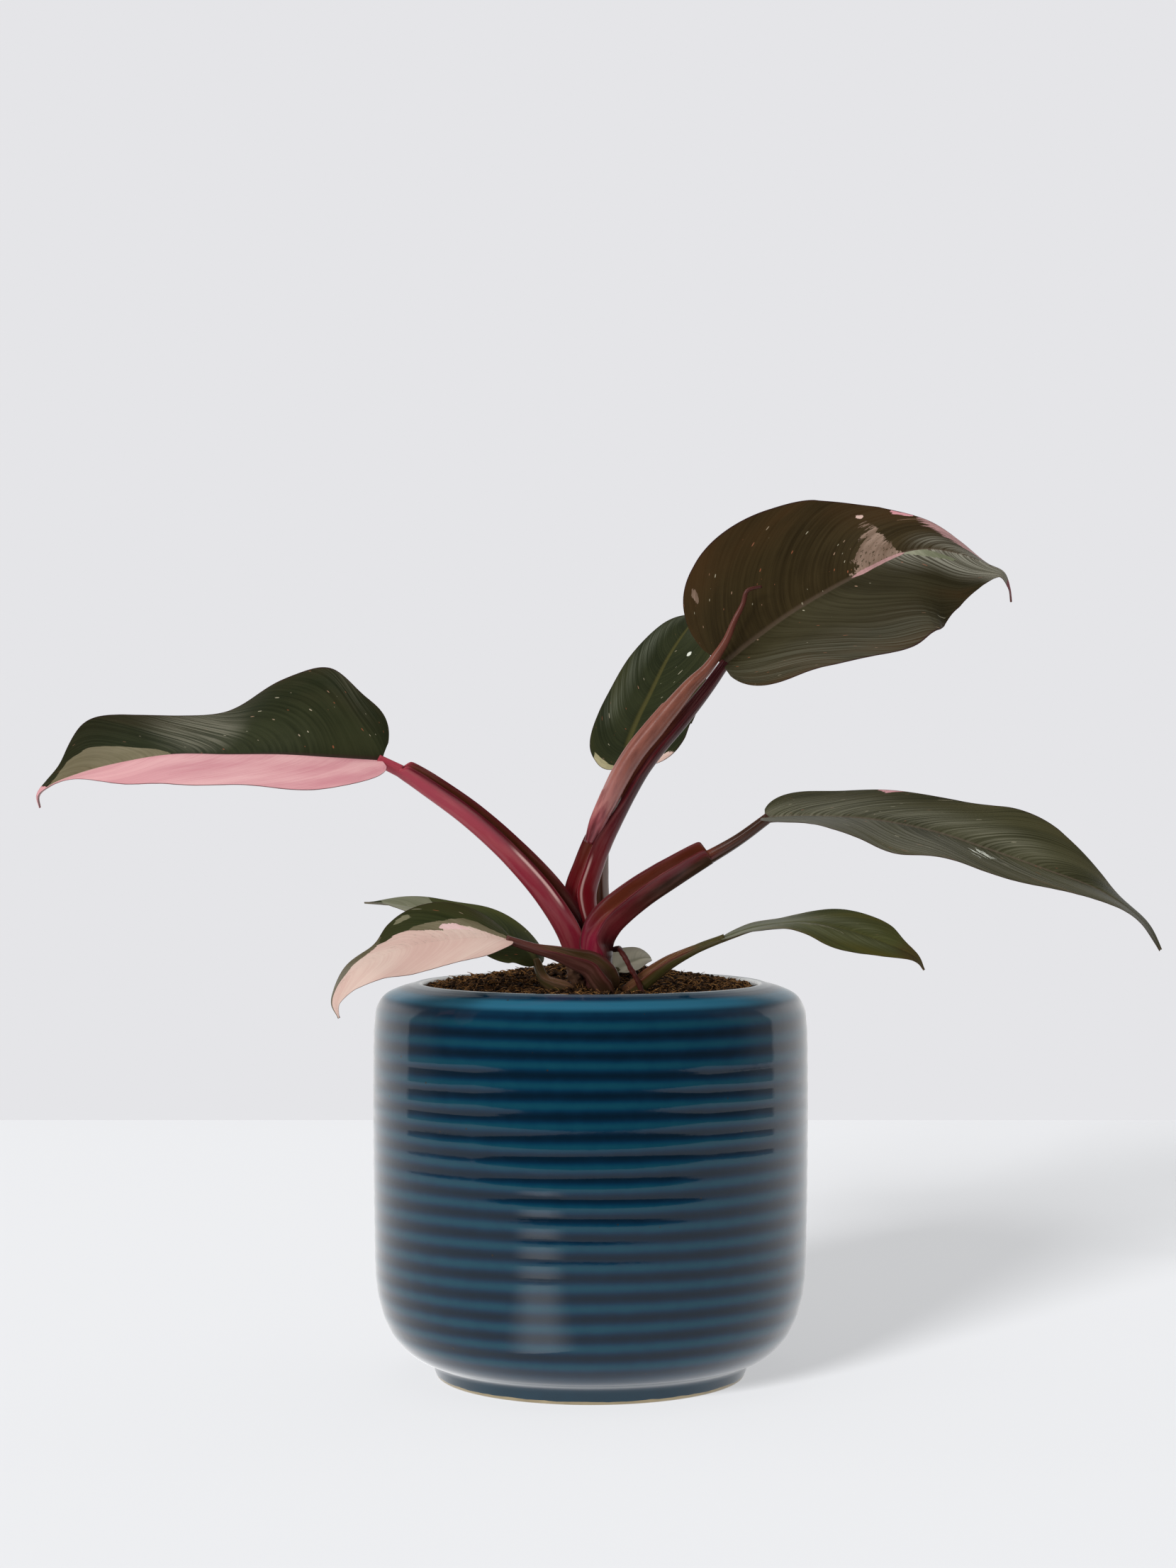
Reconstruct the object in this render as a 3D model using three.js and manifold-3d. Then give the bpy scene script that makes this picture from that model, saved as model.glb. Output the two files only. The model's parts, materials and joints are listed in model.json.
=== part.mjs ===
// A young philodendron with pink variegation, growing in a ribbed, glazed ceramic pot.
// Millimetres, +Z up, the origin at the middle of the pot's flat underside.
// -Y faces the viewer, and left and right are the viewer's.

import * as THREE from 'three';
import { mergeVertices } from 'three/addons/utils/BufferGeometryUtils.js';
import Module from 'manifold-3d';

const wasm = await Module();
wasm.setup();

// Clearance between pieces that touch.
const GAP = 0.3;

// The pot.
const POT_HEIGHT = 137;
const POT_RADIUS = 76;
const POT_MOUTH_RADIUS = 58.8;
const POT_WALL = 6;
const POT_FLOOR = 9;
const POT_SIDES = 42;
const FOOT_RADIUS = 54;
const FOOT_BEVEL = 1;
const FOOT_HEIGHT = 6;
const RIB_COUNT = 18;
const RIB_LOWEST = 15.7;
const RIB_HIGHEST = 127.6;
// About twice the real ribs' depth, so that they still show on flat faces.
const RIB_DEPTH = 0.3;

// The soil.
const SOIL_EDGE_HEIGHT = 134.8;
const MOUND_HEIGHT = 7;
const MOUND_CENTRE = [0, 17];
const MOUND_SPREAD = 36;
const CRUMB_HEIGHT = 0.5;
const SOIL_SIDES = 32;

// The leaf blades.
const BLADE_THICKNESS = 0.9;
const MIDRIB_RELIEF = 0.9;
const BLADE_FULLNESS = 0.42;
const VEIN_SWEEP_AT_TIP = 36;
const BLADE_ROWS = 16;
const BLADE_COLUMNS = [-1, -0.78, -0.5, -0.22, 0, 0.22, 0.5, 0.78, 1];

// The stalks' sheaths: a wing of this height has a fully open channel between it and its twin.
const FULL_WING = 2;
// How far a stalk reaches in under its blade, along the midrib.
const SEAT_DEPTH = 1.8;

// The stem and its main roots: x, y, z and radius of each station.
const STEM = [
  [2, -17, 96, 2], [2, -17.5, 104, 4.5], [2, -18, 120, 6], [1.5, -19, 138, 6],
  [1, -19, 148, 5.5], [0.5, -18, 156, 4],
];
const ROOT_COUNT = 5;
const ROOT_TOP = 112;
const ROOT_BOTTOM = 42;
const ROOT_REACH = 38;
const ROOT_RADIUS = 1.6;

// The leaves. A stalk row is x, y, z, radius and wing height, from the blade down to the stem;
// its channel opens toward face. A blade runs along its midrib, from the stalk to the tip.
// Each half of a blade has its greatest width, its curl, which is how far it turns from the
// midrib to the margin, its veins' sweep at the stalk, base, and the power by which it narrows,
// point. At even steps from the base to the tip it has its angle above the horizontal, rise,
// and the trim of its width.
const LEAVES = {
  top_right: {
    face: [-0.75, -0.5, 0.45],
    stalk: [
      [45.5, -12, 246, 1.8, 0], [40, -12.5, 239, 2.2, 0], [31, -13, 228, 2.8, 0],
      [24, -13, 220, 3, 0], [17.5, -14, 211.5, 3.1, 0], [12.5, -14, 203, 3.2, 0.5],
      [8, -14, 194.5, 3.3, 1.5], [3.5, -14, 186, 3.8, 2], [0, -14, 177, 4, 2],
      [-2.5, -14, 168.5, 4.4, 2], [-2, -14, 159, 4.8, 1.5], [-0.5, -15, 150.5, 4.8, 1],
    ],
    midrib: [
      [45.5, -12, 247.5], [55.5, -13, 255.5], [68.5, -14, 265], [80, -15, 272], [92, -16, 278.5],
      [107.5, -16, 286], [117.5, -15, 287.5], [129.5, -13, 285.5], [138, -12, 282.3],
      [143.3, -12, 279.8], [145.3, -12, 275], [146, -12, 268.7],
    ],
    left: {
      width: 40, curl: 8, base: -16, point: 1.55,
      rise: [72, 72, 68, 60, 46, 34, 12, 6],
      trim: [0.94, 0.955, 0.965, 1, 0.94, 1, 1, 1],
    },
    right: {
      width: 36, curl: -6, base: -3, point: 1.15,
      rise: [-32, -34, -38, -44, -50, -54, -50, -40],
      trim: [1.2, 1.08, 1, 1, 1.05, 1.15, 1.13, 1.17, 1.2, 1.13, 1.06, 0.88, 0.6, 0.6, 0.7],
    },
  },
  back: {
    face: [-0.5, -0.8, 0.2],
    stalk: [
      [13, 12, 213, 1.6, 0], [8, 8, 200.5, 2.1, 0], [4, 3, 185.5, 2.7, 1.2], [3, 0, 175.5, 3.2, 2],
      [3, -4, 166, 3.4, 2], [3.5, -9, 151, 3.8, 1], [2.5, -13, 141, 3.2, 0],
    ],
    midrib: [
      [13, 12.5, 214.5], [13.5, 20, 220.5], [17, 29, 229.5], [21.5, 38, 238.5], [28.5, 51, 252.5],
      [35, 64, 262.5], [40.5, 78, 269], [45, 92, 271.5],
    ],
    left: {
      width: 17, curl: 4, base: -58, point: 1.1,
      rise: [14, 12, 10],
      trim: [0.94, 0.87, 0.92, 1.12, 1.2],
    },
    right: {
      width: 24, curl: 4, base: -48, point: 1.1,
      rise: [14, 12, 10],
      trim: [1.3, 1.1, 0.9, 0.9, 1],
    },
  },
  left: {
    face: [0.62, -0.38, 0.69],
    stalk: [
      [-69.5, -25, 213, 2, 0], [-65, -25, 210.8, 2.2, 0], [-62.5, -25, 209.5, 2.5, 2.2],
      [-56.5, -25, 205.5, 2.7, 2.6], [-42, -24, 195, 3, 2.8], [-28.5, -23, 183, 3.3, 2.8],
      [-16.5, -22, 170, 3.9, 2.8], [-8, -21, 158, 4.6, 2.4], [-4.5, -20, 150.5, 5, 1.6],
      [-3, -19, 144, 4.6, 0.8],
    ],
    midrib: [
      [-71, -25, 214.5], [-88, -26, 215.5], [-105.5, -27, 216.5], [-124, -28, 216.5],
      [-143, -29, 216.5], [-161, -30, 213.5], [-174, -31, 210], [-183.5, -32, 206],
      [-187.5, -32, 202.5], [-187, -32, 197.5],
    ],
    left: {
      width: 34, curl: -3, base: -14, point: 1.1,
      rise: [-14, -16, -17, -16, -17, -18, -14, -4],
      trim: [1.25, 1.14, 1, 1.1, 1.05, 0.78, 0.6, 0.8],
    },
    right: {
      width: 37, curl: 10, base: -18, point: 1.12,
      rise: [70, 64, 41, 22, 20, 36, 60, 40],
      trim: [0.88, 0.83, 0.98, 0.99, 1, 1.01, 1.03, 1.04, 1.04, 1.06, 1, 0.8, 0.56, 0.46, 0.4],
    },
  },
  right: {
    face: [-0.4, -0.62, 0.68],
    stalk: [
      [57.5, -36, 194, 1.8, 0], [50, -35, 187.5, 2, 0], [40.5, -34, 181.8, 2.4, 0],
      [38.5, -34, 180.8, 2.6, 4], [26.5, -33, 173.5, 3.1, 4.4], [18.5, -32, 168.5, 3.5, 4],
      [11, -31, 163, 4, 3.4], [6, -29.5, 158.5, 4.6, 2.4], [3, -28, 153.5, 5, 1.6],
      [2.5, -27, 148.5, 5.1, 1], [3, -26, 143, 4.6, 0.5],
    ],
    midrib: [
      [58.5, -36.2, 195], [67.5, -38, 195.5], [77.5, -40, 195.5], [94.5, -44, 194.5],
      [114.5, -48, 190.5], [132.5, -52, 184.5], [150.5, -55, 178], [168.5, -58, 171],
      [181.5, -60, 161.5], [188.5, -61, 151],
    ],
    left: {
      width: 26, curl: 4, base: -8, point: 1.1,
      rise: [24, 18, 19, 27, 38, 34, 12, 8],
      trim: [1.25, 1.1, 1.04, 1.02, 1.14, 1, 0.98, 1],
    },
    right: {
      width: 26, curl: -6, base: -8, point: 1.1,
      rise: [-3, -3, -15, -13, -13, -12, -9, -2],
      trim: [1.2, 1.12, 1.02, 0.9, 1.06, 1.05, 0.98, 1, 1.04, 1.02, 1, 1, 1, 1, 1],
    },
  },
  front_left: {
    face: [0.1, -0.5, 0.85],
    stalk: [
      [-25.5, -40, 153, 1.4, 0], [-19, -39, 151, 1.7, 0.4], [-12, -38, 149, 2.1, 1.2],
      [-5.5, -37, 146.5, 2.7, 1.8], [0, -36, 144, 3.4, 2.2], [3.5, -35, 140, 4, 2.2],
      [5.5, -32, 134, 4, 1.6], [4, -27, 128, 3.4, 0.8],
    ],
    midrib: [
      [-26.8, -40.5, 154], [-36, -45, 155], [-48.5, -51, 154.5], [-58, -56, 153],
      [-67, -61, 150.5], [-75.5, -67, 146.5], [-81.5, -71, 140.5], [-83.5, -74, 135],
      [-81.5, -76, 130],
    ],
    left: {
      width: 17, curl: -8, base: -8, point: 1.1,
      rise: [-18, -26, -28, -28, -26, -20, -12, -6],
      trim: [0.55, 0.7, 0.78, 0.88, 1, 1.04, 1, 1],
    },
    right: {
      width: 17, curl: 6, base: -8, point: 1.4,
      rise: [28, 36, 40, 36, 22, 4, -4, 0],
      trim: [1, 1, 1, 0.9, 0.62, 1.15, 1.1, 1],
    },
  },
  low_left: {
    face: [0.2, -0.3, 0.9],
    stalk: [
      [-17.5, -22, 143, 1.4, 0], [-16.5, -24, 140, 1.8, 0.8], [-13.5, -26, 137.5, 2.2, 1.4],
      [-9, -27, 136, 2.4, 1.4], [-4.5, -26, 133, 2.4, 1], [-1, -23, 129, 2.2, 0.4],
    ],
    midrib: [
      [-18, -21.6, 144.5], [-20.5, -20, 148.5], [-27.5, -17, 153.5], [-39, -13, 158.5],
      [-52.5, -9, 161.5], [-66.5, -5, 164], [-79.5, -2, 165],
    ],
    left: {
      width: 15, curl: -4, base: -6, point: 1.2,
      rise: [-30, -28, -18, -8, -4, 0, 2],
      trim: [1, 1, 1, 1, 1, 1, 1],
    },
    right: {
      width: 16, curl: 4, base: -6, point: 1.1,
      rise: [12, 14, 15, 16, 19, 21, 21],
      trim: [0.6, 0.73, 0.82, 0.88, 1, 1, 1],
    },
  },
  low_right: {
    face: [-0.2, -0.4, 0.9],
    stalk: [
      [42.5, -34, 153, 1.3, 0], [36, -33.5, 150.5, 1.5, 0.6], [27.5, -32.5, 146, 2, 1.2],
      [22.5, -32, 142.5, 2.3, 1.4], [17.5, -31, 138.5, 2.6, 1.4], [11.5, -29, 134, 2.8, 1],
      [6.5, -25, 129, 2.6, 0.4],
    ],
    midrib: [
      [43.8, -34.2, 153.8], [48.5, -35, 155.5], [54.5, -36, 157.5], [66.5, -38, 159.5],
      [75.5, -40, 159.5], [87.5, -42, 157], [99, -44, 153], [108.5, -46, 148.5], [112, -47, 144],
    ],
    left: {
      width: 15, curl: 4, base: 6, point: 1.1,
      rise: [8, 8, 4, 12, 28, 40, 46, 38],
      trim: [1, 0.95, 0.85, 0.9, 0.96, 0.98, 0.7, 0.8],
    },
    right: {
      width: 15, curl: -4, base: 6, point: 1.1,
      rise: [-6, -2, -6, -14, -26, -32, -28, -8],
      trim: [1, 1, 0.65, 0.93, 1, 1, 1, 1],
    },
  },
  low_back: {
    face: [-0.3, -0.4, 0.85],
    stalk: [
      [8.3, -8.8, 140.2, 1.2, 0], [7.8, -10.2, 138.4, 1.4, 0], [7, -12, 136, 1.5, 0.4],
      [5, -15, 131, 1.6, 0],
    ],
    midrib: [
      [8.5, -8.5, 141.3], [11, -4, 142.8], [14.5, 1, 144], [18, 6, 144.8], [21.5, 11, 144.6],
    ],
    left: {
      width: 5.8, curl: -6, base: -8, point: 0.8,
      rise: [62, 62, 60],
      trim: [1.25, 0.96, 1.1],
    },
    right: {
      width: 4.5, curl: -6, base: -6, point: 0.8,
      rise: [-14, -18, -10],
      trim: [1.7, 1, 1],
    },
  },
};

// The rolled new leaf: x, y, z and radius from its tip down to the sheath that it grew in.
const NEW_LEAF = [
  [59, -18, 274.5, 0.5], [54, -18, 273, 0.8], [52.5, -18, 268.5, 0.9], [49.5, -18, 262.5, 1.1],
  [47, -18, 256.5, 1.4], [44, -18, 251.5, 1.7], [40, -18, 246, 2.1], [34.5, -18, 240.5, 2.7],
  [29, -18, 234, 3.3], [22, -18, 225.5, 3.7], [15.5, -18.5, 217.5, 3.7], [10.5, -18.5, 209.5, 3.7],
  [6, -18.5, 200.5, 3.4], [2.5, -18, 193, 3], [0, -17, 186, 2.2],
];

const AERIAL_ROOT = [
  [6.5, -19, 149, 1], [9.5, -24, 150, 1], [10.5, -31, 149.3, 0.9], [12, -33.5, 147, 0.9],
  [13.5, -34, 144, 0.9], [15, -34.5, 141.5, 0.9], [16.5, -35, 138.5, 0.9],
  [17.5, -35.5, 135, 0.8], [18, -36, 130, 0.6],
];

const OLD_SHEATH = [
  [-1, -22, 131, 2.4], [-4, -23.5, 137, 2.4], [-6.2, -25, 142, 2], [-7, -25.5, 146, 1.1],
];

const ROUND_SIDES = 7;

const COLOURS = {
  pot: '#0f4560',
  soil: '#3a2c20',
  stem: '#4a2430',
  crimson: '#7c1f35',
  brown: '#5a3a2a',
  dark_green: '#2f3d29',
  pink: '#d98a94',
  pale_green: '#8f9d83',
};

function material(colour, roughness) {
  return new THREE.MeshStandardMaterial({ color: colour, roughness, metalness: 0 });
}

// A closed mesh from its points and triangles, turned so that its faces point out.
function closedGeometry(points, triangles) {
  const geometry = new THREE.BufferGeometry();
  geometry.setAttribute('position', new THREE.Float32BufferAttribute(points.flatMap((p) => p.toArray()), 3));
  let volume = 0;
  for (const [a, b, c] of triangles) {
    volume += points[a].dot(points[b].clone().cross(points[c]));
  }
  const outward = volume > 0 ? triangles : triangles.map(([a, b, c]) => [a, c, b]);
  geometry.setIndex(outward.flat());
  return geometry;
}

function toSolid(geometry) {
  const bare = geometry.clone();
  bare.deleteAttribute('normal');
  bare.deleteAttribute('uv');
  const merged = mergeVertices(bare, 1e-4);
  return new wasm.Manifold(new wasm.Mesh({
    numProp: 3,
    vertProperties: new Float32Array(merged.attributes.position.array),
    triVerts: new Uint32Array(merged.index.array),
  }));
}

function toGeometry(solid) {
  const mesh = solid.getMesh();
  const geometry = new THREE.BufferGeometry();
  geometry.setAttribute('position', new THREE.BufferAttribute(mesh.vertProperties, 3));
  geometry.setIndex(new THREE.BufferAttribute(mesh.triVerts, 1));
  return geometry;
}

// What is left of a solid after the cuts: its largest body, without loose scraps.
function cut(solid, cutters) {
  const left = cutters.reduce((body, cutter) => body.subtract(cutter), solid);
  return left.decompose().reduce((a, b) => (b.volume() > a.volume() ? b : a));
}

function curveThrough(rows) {
  const points = rows.map(([x, y, z]) => new THREE.Vector3(x, y, z));
  return new THREE.CatmullRomCurve3(points, false, 'centripetal');
}

// The value of a column of rows at a place between 0 and 1 along them.
function valueAlong(values, place) {
  const step = THREE.MathUtils.clamp(place, 0, 1) * (values.length - 1);
  const index = Math.min(Math.floor(step), values.length - 2);
  return THREE.MathUtils.lerp(values[index], values[index + 1], step - index);
}

// Moves each corner of a closed outline outward by a distance.
function grown(outline, distance) {
  return outline.map(([x, y], i) => {
    const [beforeX, beforeY] = outline[(i + outline.length - 1) % outline.length];
    const [afterX, afterY] = outline[(i + 1) % outline.length];
    const along = new THREE.Vector2(afterX - beforeX, afterY - beforeY).normalize();
    return [x + along.y * distance, y - along.x * distance];
  });
}

// A stalk's section, anticlockwise from the middle of the channel. It is round where there is
// no wing, and a channel between two wings where there is.
function stalkSection(radius, wing) {
  const angles = [90, 118, 140, 156, 186, 230, 270, 310, 354, 24, 40, 62];
  const open = Math.min(1, wing / FULL_WING);
  const tip = 0.6 * radius + wing;
  const winged = [
    [0, 0.3 * radius], [-0.52 * radius, 0.42 * radius], [-0.8 * radius, tip], [-1.1 * radius, tip],
    [-1.06 * radius, -0.1 * radius], [-0.7 * radius, -0.8 * radius], [0, -1.05 * radius],
    [0.7 * radius, -0.8 * radius], [1.06 * radius, -0.1 * radius], [1.1 * radius, tip],
    [0.8 * radius, tip], [0.52 * radius, 0.42 * radius],
  ];
  return angles.map((degrees, i) => {
    const angle = THREE.MathUtils.degToRad(degrees);
    const round = [radius * Math.cos(angle), radius * Math.sin(angle)];
    return [0, 1].map((axis) => THREE.MathUtils.lerp(round[axis], winged[i][axis], open));
  });
}

function roundSection(radius) {
  return Array.from({ length: ROUND_SIDES }, (_, i) => {
    const angle = (2 * Math.PI * i) / ROUND_SIDES;
    return [radius * Math.cos(angle), radius * Math.sin(angle)];
  });
}

// A closed body lofted along rows of x, y, z and sizes: sectionAt gives its outline for the
// sizes at a place, and face is the way that the outline's own up points.
function loft(rows, face, sectionAt, stepsPerRow, growth = 0) {
  const curve = curveThrough(rows);
  const stations = (rows.length - 1) * stepsPerRow;
  const sizes = rows[0].slice(3).map((_, column) => rows.map((row) => row[3 + column]));
  const up = new THREE.Vector3(...face).normalize();
  const points = [];
  const triangles = [];
  let outline;
  for (let station = 0; station <= stations; station += 1) {
    const place = station / stations;
    const tangent = curve.getTangent(place);
    const centre = curve.getPoint(place);
    if (station === 0) centre.addScaledVector(tangent, -growth);
    if (station === stations) centre.addScaledVector(tangent, growth);
    const high = up.clone().addScaledVector(tangent, -up.dot(tangent)).normalize();
    const side = tangent.clone().cross(high);
    outline = grown(sectionAt(...sizes.map((values) => valueAlong(values, place))), growth);
    for (const [x, y] of outline) {
      points.push(centre.clone().addScaledVector(side, x).addScaledVector(high, y));
    }
  }
  const corners = outline.length;
  for (let station = 0; station < stations; station += 1) {
    for (let corner = 0; corner < corners; corner += 1) {
      const a = station * corners + corner;
      const b = station * corners + ((corner + 1) % corners);
      triangles.push([a, b, b + corners], [a, b + corners, a + corners]);
    }
  }
  const cap = THREE.ShapeUtils.triangulateShape(outline.map(([x, y]) => new THREE.Vector2(x, y)), []);
  const last = stations * corners;
  for (const [a, b, c] of cap) {
    triangles.push([c, b, a], [last + a, last + b, last + c]);
  }
  return closedGeometry(points, triangles);
}

function stalkGeometry({ stalk, face, midrib }, growth = 0) {
  const rib = curveThrough(midrib);
  const seat = rib.getPointAt(SEAT_DEPTH / rib.getLength()).toArray();
  const seated = [[...seat, ...stalk[0].slice(3)], ...stalk.slice(1)];
  return loft(seated, face, stalkSection, 2, growth);
}

function roundGeometry(rows, growth = 0) {
  const uprightFace = [0.3, 1, 0.2];
  return loft(rows, uprightFace, roundSection, 1, growth);
}

// How wide a blade's half is at a share of its length, as a share of its greatest width.
function widthShare(share, point) {
  const widest = BLADE_FULLNESS / (BLADE_FULLNESS + point);
  const greatest = widest ** BLADE_FULLNESS * (1 - widest) ** point;
  return (share ** BLADE_FULLNESS * (1 - share) ** point) / greatest;
}

// A blade is bent from a flat outline. Its rows follow the side veins, which leave the midrib
// and sweep back at the base and forward toward the tip.
function bladeGeometry({ midrib, left, right }) {
  const veinBend = 1.3;
  const firstShare = 0.004;
  const lastShare = 0.988;
  const curve = curveThrough(midrib);
  const length = curve.getLength();
  const start = curve.getPoint(0);
  const end = curve.getPoint(1);
  const heading = end.clone().sub(start).setZ(0).normalize();
  const rightward = heading.clone().cross(new THREE.Vector3(0, 0, 1));

  function frameAt(along) {
    const share = THREE.MathUtils.clamp(along / length, 0, 1);
    const tangent = curve.getTangentAt(share);
    const origin = curve.getPointAt(share).addScaledVector(tangent, along - share * length);
    const across = rightward.clone().addScaledVector(tangent, -rightward.dot(tangent)).normalize();
    const high = across.clone().cross(tangent);
    return { share, origin, across, high };
  }

  function bladePoint(along, distance, half, side) {
    const { share, origin, across, high } = frameAt(along);
    const angle = THREE.MathUtils.degToRad(valueAlong(half.rise, share));
    const bend = THREE.MathUtils.degToRad(half.curl) / half.width;
    const out = (Math.sin(angle + bend * distance) - Math.sin(angle)) / bend;
    const lift = (Math.cos(angle) - Math.cos(angle + bend * distance)) / bend;
    return origin.addScaledVector(across, side * out).addScaledVector(high, lift);
  }

  const grid = [];
  for (let row = 0; row < BLADE_ROWS; row += 1) {
    const spread = 0.5 - 0.5 * Math.cos((Math.PI * row) / (BLADE_ROWS - 1));
    const share = THREE.MathUtils.lerp(firstShare, lastShare, spread);
    grid.push(BLADE_COLUMNS.map((column) => {
      const half = column < 0 ? left : right;
      const reach = Math.abs(column);
      const sweepDegrees = THREE.MathUtils.lerp(half.base, VEIN_SWEEP_AT_TIP, Math.sqrt(share));
      const sweep = THREE.MathUtils.degToRad(sweepDegrees);
      const width = half.width * widthShare(share, half.point) * valueAlong(half.trim, share);
      const along = share * length + width * Math.tan(sweep) * reach ** veinBend;
      return bladePoint(along, width * reach, half, Math.sign(column));
    }));
  }
  return sheetGeometry(grid);
}

// Gives a grid of points its thickness, with the same triangles on both faces and a raised
// ridge along the middle of the underside.
function sheetGeometry(grid) {
  const rows = grid.length;
  const columns = grid[0].length;
  const middle = (columns - 1) / 2;
  const at = (row, column) => grid[THREE.MathUtils.clamp(row, 0, rows - 1)][
    THREE.MathUtils.clamp(column, 0, columns - 1)];
  const points = [];
  for (const face of [1, -1]) {
    for (let row = 0; row < rows; row += 1) {
      for (let column = 0; column < columns; column += 1) {
        const along = at(row + 1, column).clone().sub(at(row - 1, column));
        const across = at(row, column + 1).clone().sub(at(row, column - 1));
        const normal = across.cross(along).normalize();
        const ridge = column === middle && face < 0 ? MIDRIB_RELIEF * (1 - row / rows) : 0;
        points.push(at(row, column).clone().addScaledVector(normal, face * (BLADE_THICKNESS / 2 + ridge)));
      }
    }
  }
  const under = rows * columns;
  const triangles = [];
  for (let row = 0; row < rows - 1; row += 1) {
    for (let column = 0; column < columns - 1; column += 1) {
      const a = row * columns + column;
      const b = a + 1;
      const c = b + columns;
      const d = a + columns;
      const pair = column < middle ? [[a, b, c], [a, c, d]] : [[a, b, d], [b, c, d]];
      for (const [p, q, r] of pair) {
        triangles.push([p, q, r], [under + p, under + r, under + q]);
      }
    }
  }
  const rim = [];
  for (let column = 0; column < columns - 1; column += 1) rim.push(column);
  for (let row = 0; row < rows - 1; row += 1) rim.push(row * columns + columns - 1);
  for (let column = columns - 1; column > 0; column -= 1) rim.push((rows - 1) * columns + column);
  for (let row = rows - 1; row > 0; row -= 1) rim.push(row * columns);
  rim.forEach((p, i) => {
    const q = rim[(i + 1) % rim.length];
    triangles.push([p, under + p, under + q], [p, under + q, q]);
  });
  return closedGeometry(points, triangles);
}

// The pot's outside from the foot to the lip, before its ribs: radius and height.
const POT_OUTSIDE = new THREE.SplineCurve([
  [56.7, FOOT_HEIGHT], [62.6, 8.6], [67.5, 13], [71, 18.5], [73.5, 25.5], [75, 34], [75.6, 52],
  [POT_RADIUS, 80], [POT_RADIUS, 108], [75.7, 122], [74.8, 128.5], [72.2, 132.6],
  [67.5, 135], [62.5, 136.4],
].map(([radius, height]) => new THREE.Vector2(radius, height)));

// The wall's radius at a height, ribs and all.
function potRadius(height) {
  let low = 0;
  let high = 1;
  for (let step = 0; step < 30; step += 1) {
    const middle = (low + high) / 2;
    if (POT_OUTSIDE.getPoint(middle).y < height) low = middle;
    else high = middle;
  }
  return POT_OUTSIDE.getPoint(low).x;
}

// The foot and the wall below the first rib, and the lip above the shoulder: radius and height.
const FOOT = [
  [FOOT_RADIUS - FOOT_BEVEL, 0], [FOOT_RADIUS, FOOT_BEVEL], [FOOT_RADIUS + 2, FOOT_HEIGHT - 0.8],
  [59.5, 7], [64, 9.8],
];
const UNDERCUT_HEIGHT = 12.4;
const SHOULDER_HEIGHTS = [130.6, 132.8, 135];
const LIP = [[62.5, 136.5], [60.5, POT_HEIGHT]];

// The cavity from its floor to the mouth: radius and height.
const CAVITY = [
  [0, POT_FLOOR], [50, POT_FLOOR], [60, 14], [66, 22], [69, 34],
  [POT_RADIUS - POT_WALL, 60], [POT_RADIUS - POT_WALL, 116], [68, 124], [63, 129],
  [POT_MOUTH_RADIUS, 132.5], [POT_MOUTH_RADIUS, POT_HEIGHT - 1.5],
];

function potGeometry() {
  const pitch = (RIB_HIGHEST - RIB_LOWEST) / (RIB_COUNT - 1);
  const profile = [[0, 0], ...FOOT, [potRadius(UNDERCUT_HEIGHT) - RIB_DEPTH, UNDERCUT_HEIGHT]];
  for (let rib = 0; rib < RIB_COUNT; rib += 1) {
    const crest = RIB_LOWEST + rib * pitch;
    profile.push([potRadius(crest) + RIB_DEPTH / 2, crest]);
    if (rib < RIB_COUNT - 1) {
      const valley = crest + pitch / 2;
      profile.push([potRadius(valley) - RIB_DEPTH / 2, valley]);
    }
  }
  profile.push(...SHOULDER_HEIGHTS.map((height) => [potRadius(height), height]), ...LIP);
  profile.push(...CAVITY.slice().reverse());
  return latheGeometry(profile, POT_SIDES, () => 0);
}

// A body of revolution whose profile starts and ends on the axis; lift raises its points.
function latheGeometry(profile, sides, lift) {
  const points = [];
  const rings = profile.map(([radius, height]) => {
    const count = radius === 0 ? 1 : sides;
    const ring = [];
    for (let side = 0; side < count; side += 1) {
      const angle = (2 * Math.PI * side) / sides;
      const x = radius * Math.cos(angle);
      const y = radius * Math.sin(angle);
      ring.push(points.length);
      points.push(new THREE.Vector3(x, y, height + lift(x, y, height)));
    }
    return ring;
  });
  const triangles = [];
  for (let ring = 0; ring < rings.length - 1; ring += 1) {
    const lower = rings[ring];
    const upper = rings[ring + 1];
    for (let side = 0; side < sides; side += 1) {
      const next = (side + 1) % sides;
      if (lower.length > 1) triangles.push([lower[side], lower[next], upper[upper.length > 1 ? next : 0]]);
      if (upper.length > 1) triangles.push([lower[lower.length > 1 ? side : 0], upper[next], upper[side]]);
    }
  }
  return closedGeometry(points, triangles);
}

// How far the soil's top stands above its level edge.
function soilLift(x, y) {
  const [centreX, centreY] = MOUND_CENTRE;
  const distance = Math.hypot(x - centreX, y - centreY);
  const crumbs = Math.sin(0.9 * x + 1.3) * Math.sin(0.8 * y + 0.4) + Math.sin(0.53 * x - 0.61 * y);
  return MOUND_HEIGHT * Math.exp(-((distance / MOUND_SPREAD) ** 2)) + (CRUMB_HEIGHT / 2) * crumbs;
}

function soilGeometry() {
  const sides = CAVITY.slice(0, -1).map(([radius, height]) => [
    Math.max(0, radius - GAP), height + (height === POT_FLOOR ? GAP : 0),
  ]);
  const topRadii = [POT_MOUTH_RADIUS - GAP, 51, 43, 35, 27, 19, 10, 0];
  const top = topRadii.map((radius) => [radius, SOIL_EDGE_HEIGHT]);
  return latheGeometry([...sides, ...top], SOIL_SIDES, (x, y, height) => (
    height < SOIL_EDGE_HEIGHT ? 0 : soilLift(x, y)));
}

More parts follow.
